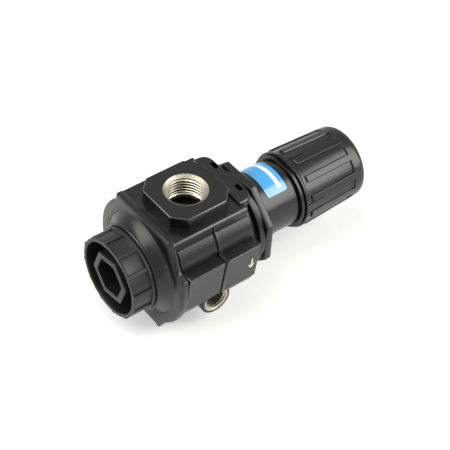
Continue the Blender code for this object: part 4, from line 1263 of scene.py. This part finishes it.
@dataclass
class Knob:
    """The ribbed pull-to-unlock knob with its snap tongues and serrated end cap."""

    left: float = 64.2
    panel: float = 21.1
    taper: float = 1.5
    shoulder: float = 103.0
    end: float = 107.6
    dome_width: float = 4.9
    wall: float = 2.2
    cavity_end: float = 96.2
    bars: int = 12
    bar_width: float = 3.6
    bar_rise: float = 0.9
    bar_root: float = 1.0
    bar_draft: float = 0.45
    bar_lead: float = 0.35
    bar_over: float = 1.5
    bar_left: float = 68.2
    panel_end: float = 98.4
    bar_turn: float = math.radians(10.5)
    rim_rise: float = 0.5
    rim_length: float = 1.2
    rim_slope: float = 0.5
    step: float = 0.3
    shoulder_ease: float = 0.4
    slot_end: float = 76.0
    slot_width: float = 0.5
    tongue: float = 15.0
    tongue_middle: float = 5.0
    hub: float = 8.2
    hub_left: float = 79.6
    hub_shoulder: float = 90.0
    hub_bore: float = 6.3
    hex_flats: float = 9.6
    cap_inset: float = 2.9
    cap_seat: float = 105.4
    cap_end: float = 109.1
    cap_teeth: int = 20
    cap_tooth: float = 0.8
    tooth_shape: Corner = (0.8, 1.3, 2.7)

    def outer(self, place: float) -> float:
        """Radius of the panels at a place along X."""
        return self.panel - self.taper * (place - self.left) / (self.shoulder - self.left)

    def dome_end(self) -> float:
        """Radius at which the dome meets the knob's flat end."""
        return self.outer(self.shoulder) + self.bar_rise - self.dome_width

    def profile(self) -> list[Point]:
        """Section of the turned knob."""
        shoulder = self.outer(self.shoulder) + self.bar_rise
        dome_end = self.dome_end()
        length = self.end - self.shoulder
        dome = [
            (self.shoulder + length * math.sin(turn), dome_end + self.dome_width * math.cos(turn))
            for turn in (math.pi / 2 * index / 12 for index in range(1, 13))]
        rim = self.panel + self.rim_rise
        rim_end = self.left + self.rim_length
        panel_end = self.outer(self.panel_end)
        side = [
            (self.cavity_end, self.outer(self.cavity_end) - self.wall), (self.left, self.panel - self.wall),
            (self.left, rim), (rim_end, rim), (rim_end + self.rim_slope, self.outer(rim_end)),
            (self.panel_end, panel_end), (self.panel_end + self.step, panel_end + self.bar_rise),
            (self.shoulder - self.shoulder_ease, shoulder)]
        cap_bore = dome_end - self.cap_inset
        hub = [(self.hub_left, 0.0), (self.hub_left, self.hub), (self.cavity_end, self.hub)]
        socket = [
            (self.end, cap_bore), (self.cap_seat, cap_bore), (self.cap_seat, self.hub_bore),
            (self.hub_shoulder, self.hub_bore), (self.hub_shoulder, 0.0)]
        return hub + rounded(side, self.step, 3, False) + dome + socket

    def bar(self, angle: float) -> Piece:
        """One grip bar with sloping sides, which runs into the shoulder band."""
        lead, draft = self.bar_lead, self.bar_draft
        rows = []
        for place, sink in (
                (self.bar_left, lead), (self.bar_left + lead, 0.0), (self.panel_end + self.bar_over, 0.0)):
            top = self.outer(place) + self.bar_rise - sink
            foot = self.outer(place) - self.bar_root
            half = (self.bar_width - sink) / 2
            section = rounded(
                [(-half - draft, foot), (-half, top), (half, top), (half + draft, foot)], lead, 3)
            rows.append([(place, y, z) for y, z in section])
        return rolled(skin("bar", rows, False, NYLON), angle)

    def cut_tongues(self, knob: Piece) -> None:
        """Slit the rim on both sides of the four snap tongues."""
        half = self.slot_width / 2
        for quarter in range(4):
            for edge in (-0.5, 0.5):
                turn = 90 - (self.tongue_middle + 90 * quarter + edge * self.tongue)
                slit = box(
                    "slit", (self.left - PROUD, -half, self.panel - self.wall - PROUD),
                    (self.slot_end, half, self.panel + PROUD), NYLON)
                work(knob, rolled(slit, math.radians(turn)), Joining.CUT)

    def build_cap(self, seat: Seat) -> None:
        """Cut the serrated cap that closes the domed end."""
        outer = self.dome_end() - self.cap_inset - self.step
        root = outer - self.cap_tooth
        half = math.tau / self.cap_teeth / 4
        crest, start, stop = (share * half for share in self.tooth_shape)
        corners = ((outer, -crest), (outer, crest), (root, start), (root, stop))
        outline = [
            (radius * math.cos(angle + turn), radius * math.sin(angle + turn))
            for angle in around(self.cap_teeth) for radius, turn in corners]
        cap = prism_x("end_cap_dressed", outline, self.cap_seat + self.step, self.cap_end, ACETAL)
        seat.put(eased(cap, self.step, 2, 60), Body.KNOB, Slot.MOULDED, ["knob_end_cap"])

    def build(self, seat: Seat) -> None:
        """Turn the knob, add its bars, slit the rim and cut the drive hexagon."""
        knob = turned("knob_dressed", self.profile(), NYLON, 144)
        for angle in around(self.bars, self.bar_turn):
            work(knob, self.bar(angle), Joining.JOIN)
        self.cut_tongues(knob)
        drive = prism_x(
            "drive", polygon(6, self.hex_flats), self.hub_left - PROUD, self.hub_shoulder + PROUD, NYLON)
        work(knob, drive, Joining.CUT)
        seat.put(knob, Body.KNOB, Slot.MOULDED, ["knob"])
        self.build_cap(seat)


@dataclass
class Insides:
    """The CAD pieces inside, which keep their shapes and get finishes."""

    nodes: dict[str, Piece]
    record: dict

    def build(self) -> None:
        """Give each shown CAD node its procedural finish."""
        slots = {row["node"]: Slot(row["material_slot"]) for row in self.record["subparts"]}
        for name, node in sorted(self.nodes.items()):
            finish = BY_SLOT[slots[name]]
            node.data.materials.clear()
            node.data.materials.append(finish.build())
            LOG.info("%s keeps its shape, in %s", name, finish.name)


@dataclass(frozen=True)
class SoftBox:
    """A rectangular soft box; its direction is seen from the object, and its power is in watts."""

    name: str
    direction: Corner
    distance: float
    size: Point
    power: float
    colour: str = "#fffff6"
    aim: Corner = (0, 0, 0.035)

    def hang(self) -> None:
        """Add the lamp to the scene, facing the object."""
        data = bpy.data.lights.new(self.name, "AREA")
        data.shape = "RECTANGLE"
        data.size, data.size_y = self.size
        data.energy = self.power
        data.color = linear(self.colour)[:3]
        lamp = bpy.data.objects.new(self.name, data)
        away = Vector(self.direction).normalized()
        lamp.location = Vector(self.aim) + away * self.distance
        lamp.rotation_mode = "QUATERNION"
        lamp.rotation_quaternion = away.to_track_quat("Z", "Y")
        bpy.context.scene.collection.objects.link(lamp)


@dataclass
class Studio:
    """Camera, floor, soft boxes and white surroundings."""

    place: Corner = (-309.30, -392.30, 509.02)
    azimuth: float = -40.59
    elevation: float = 44.84
    roll: float = 3.9
    focal_pixels: float = 1400.0
    frame_pixels: float = 450.0
    sensor: float = 36.0
    clip: Point = (0.01, 100)
    floor_size: float = 30.0
    floor_colour: str = "#e9e9e7"
    floor_glow: float = 0.45
    white: float = 1.0
    world_light: float = 0.08
    boxes: tuple[SoftBox, ...] = (
        SoftBox("right_box", (0.59, -0.59, 0.55), 0.8, (0.42, 0.72), 6.4),
        SoftBox("left_box", (-0.74, 0.32, 0.59), 0.9, (0.60, 0.75), 6.0),
        SoftBox("top_box", (-0.27, 0.07, 0.96), 0.9, (0.45, 0.45), 2.6))

    def add_camera(self, seat: Seat) -> None:
        """Put the camera where the photograph was taken from."""
        turn, rise, roll = (math.radians(angle) for angle in (self.azimuth, self.elevation, self.roll))
        right = Vector((math.cos(turn), math.sin(turn), 0))
        back = Vector((math.sin(turn) * math.cos(rise), -math.cos(turn) * math.cos(rise), math.sin(rise)))
        up = back.cross(right)
        side = right * math.cos(roll) + up * math.sin(roll)
        top = up * math.cos(roll) - right * math.sin(roll)
        data = bpy.data.cameras.new("camera")
        data.sensor_width = self.sensor
        data.lens = self.focal_pixels / self.frame_pixels * self.sensor
        data.clip_start, data.clip_end = self.clip
        camera = bpy.data.objects.new("camera", data)
        facing = Matrix((side, top, back)).transposed().to_4x4()
        camera.matrix_world = Matrix.Translation(seat.matrix() @ Vector(self.place)) @ facing
        bpy.context.scene.collection.objects.link(camera)
        bpy.context.scene.camera = camera

    def seen_white(self, tree: Tree) -> Socket:
        """A factor that is one for rays from the camera, a mirror or glass."""
        path = add_node(tree, "ShaderNodeLightPath")
        first = add_node(
            tree, "ShaderNodeMath", {"operation": "MAXIMUM"},
            {0: path.outputs["Is Camera Ray"], 1: path.outputs["Is Glossy Ray"]})
        both = add_node(
            tree, "ShaderNodeMath", {"operation": "MAXIMUM"},
            {0: first.outputs[0], 1: path.outputs["Is Transmission Ray"]})
        return both.outputs[0]

    def add_world(self) -> None:
        """White surroundings to look at, and a plain level of light from them."""
        world = bpy.data.worlds.new("studio")
        world.use_nodes = True
        tree = world.node_tree
        tree.nodes.clear()
        strength = add_node(
            tree, "ShaderNodeMapRange", None,
            {"Value": self.seen_white(tree), "To Min": self.world_light, "To Max": self.white})
        light = add_node(tree, "ShaderNodeBackground", None, {"Strength": strength.outputs["Result"]})
        output = add_node(tree, "ShaderNodeOutputWorld")
        tree.links.new(light.outputs[0], output.inputs[0])
        bpy.context.scene.world = world

    def add_floor(self) -> None:
        """A pale seamless floor that keeps the object's shadow."""
        half = self.floor_size / 2
        shape = bmesh.new()
        shape.faces.new(
            [
                shape.verts.new(point)
                for point in ((-half, -half, 0), (half, -half, 0), (half, half, 0), (-half, half, 0))])
        floor = add_shape("floor", shape)
        material = bpy.data.materials.new("matt_white_paper")
        material.use_nodes = True
        tree = material.node_tree
        tree.nodes.clear()
        paper = add_node(tree, "ShaderNodeBsdfDiffuse", None, {"Color": linear(self.floor_colour)})
        glow = add_node(
            tree, "ShaderNodeEmission", None, {"Color": linear("#ffffff"), "Strength": self.floor_glow})
        lift = add_node(tree, "ShaderNodeAddShader", None, {0: paper.outputs[0], 1: glow.outputs[0]})
        mix = add_node(
            tree, "ShaderNodeMixShader", None,
            {0: self.seen_white(tree), 1: paper.outputs[0], 2: lift.outputs[0]})
        output = add_node(tree, "ShaderNodeOutputMaterial")
        tree.links.new(mix.outputs[0], output.inputs["Surface"])
        floor.data.materials.append(material)

    def build(self, seat: Seat) -> None:
        """Set up the whole studio."""
        self.add_camera(seat)
        self.add_world()
        self.add_floor()
        for soft_box in self.boxes:
            soft_box.hang()
        bpy.context.scene.view_settings.view_transform = "Standard"


def main() -> None:
    """Build the regulator's pieces in order, from the casting outwards."""
    logging.basicConfig(level=logging.INFO, format="%(message)s")
    for old in list(bpy.data.objects):
        bpy.data.objects.remove(old, do_unlink=True)
    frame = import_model()
    plug, knob = BottomPlug(), Knob()
    seat = Seat(plug.end, knob.cap_end)
    Insides(frame["nodes"], frame["record"]).build()
    Casting().build(seat)
    RearGaugePlug().build(seat)
    plug.build(seat)
    Bonnet().build(seat)
    knob.build(seat)
    Studio().build(seat)


if __name__ == "__main__":
    main()
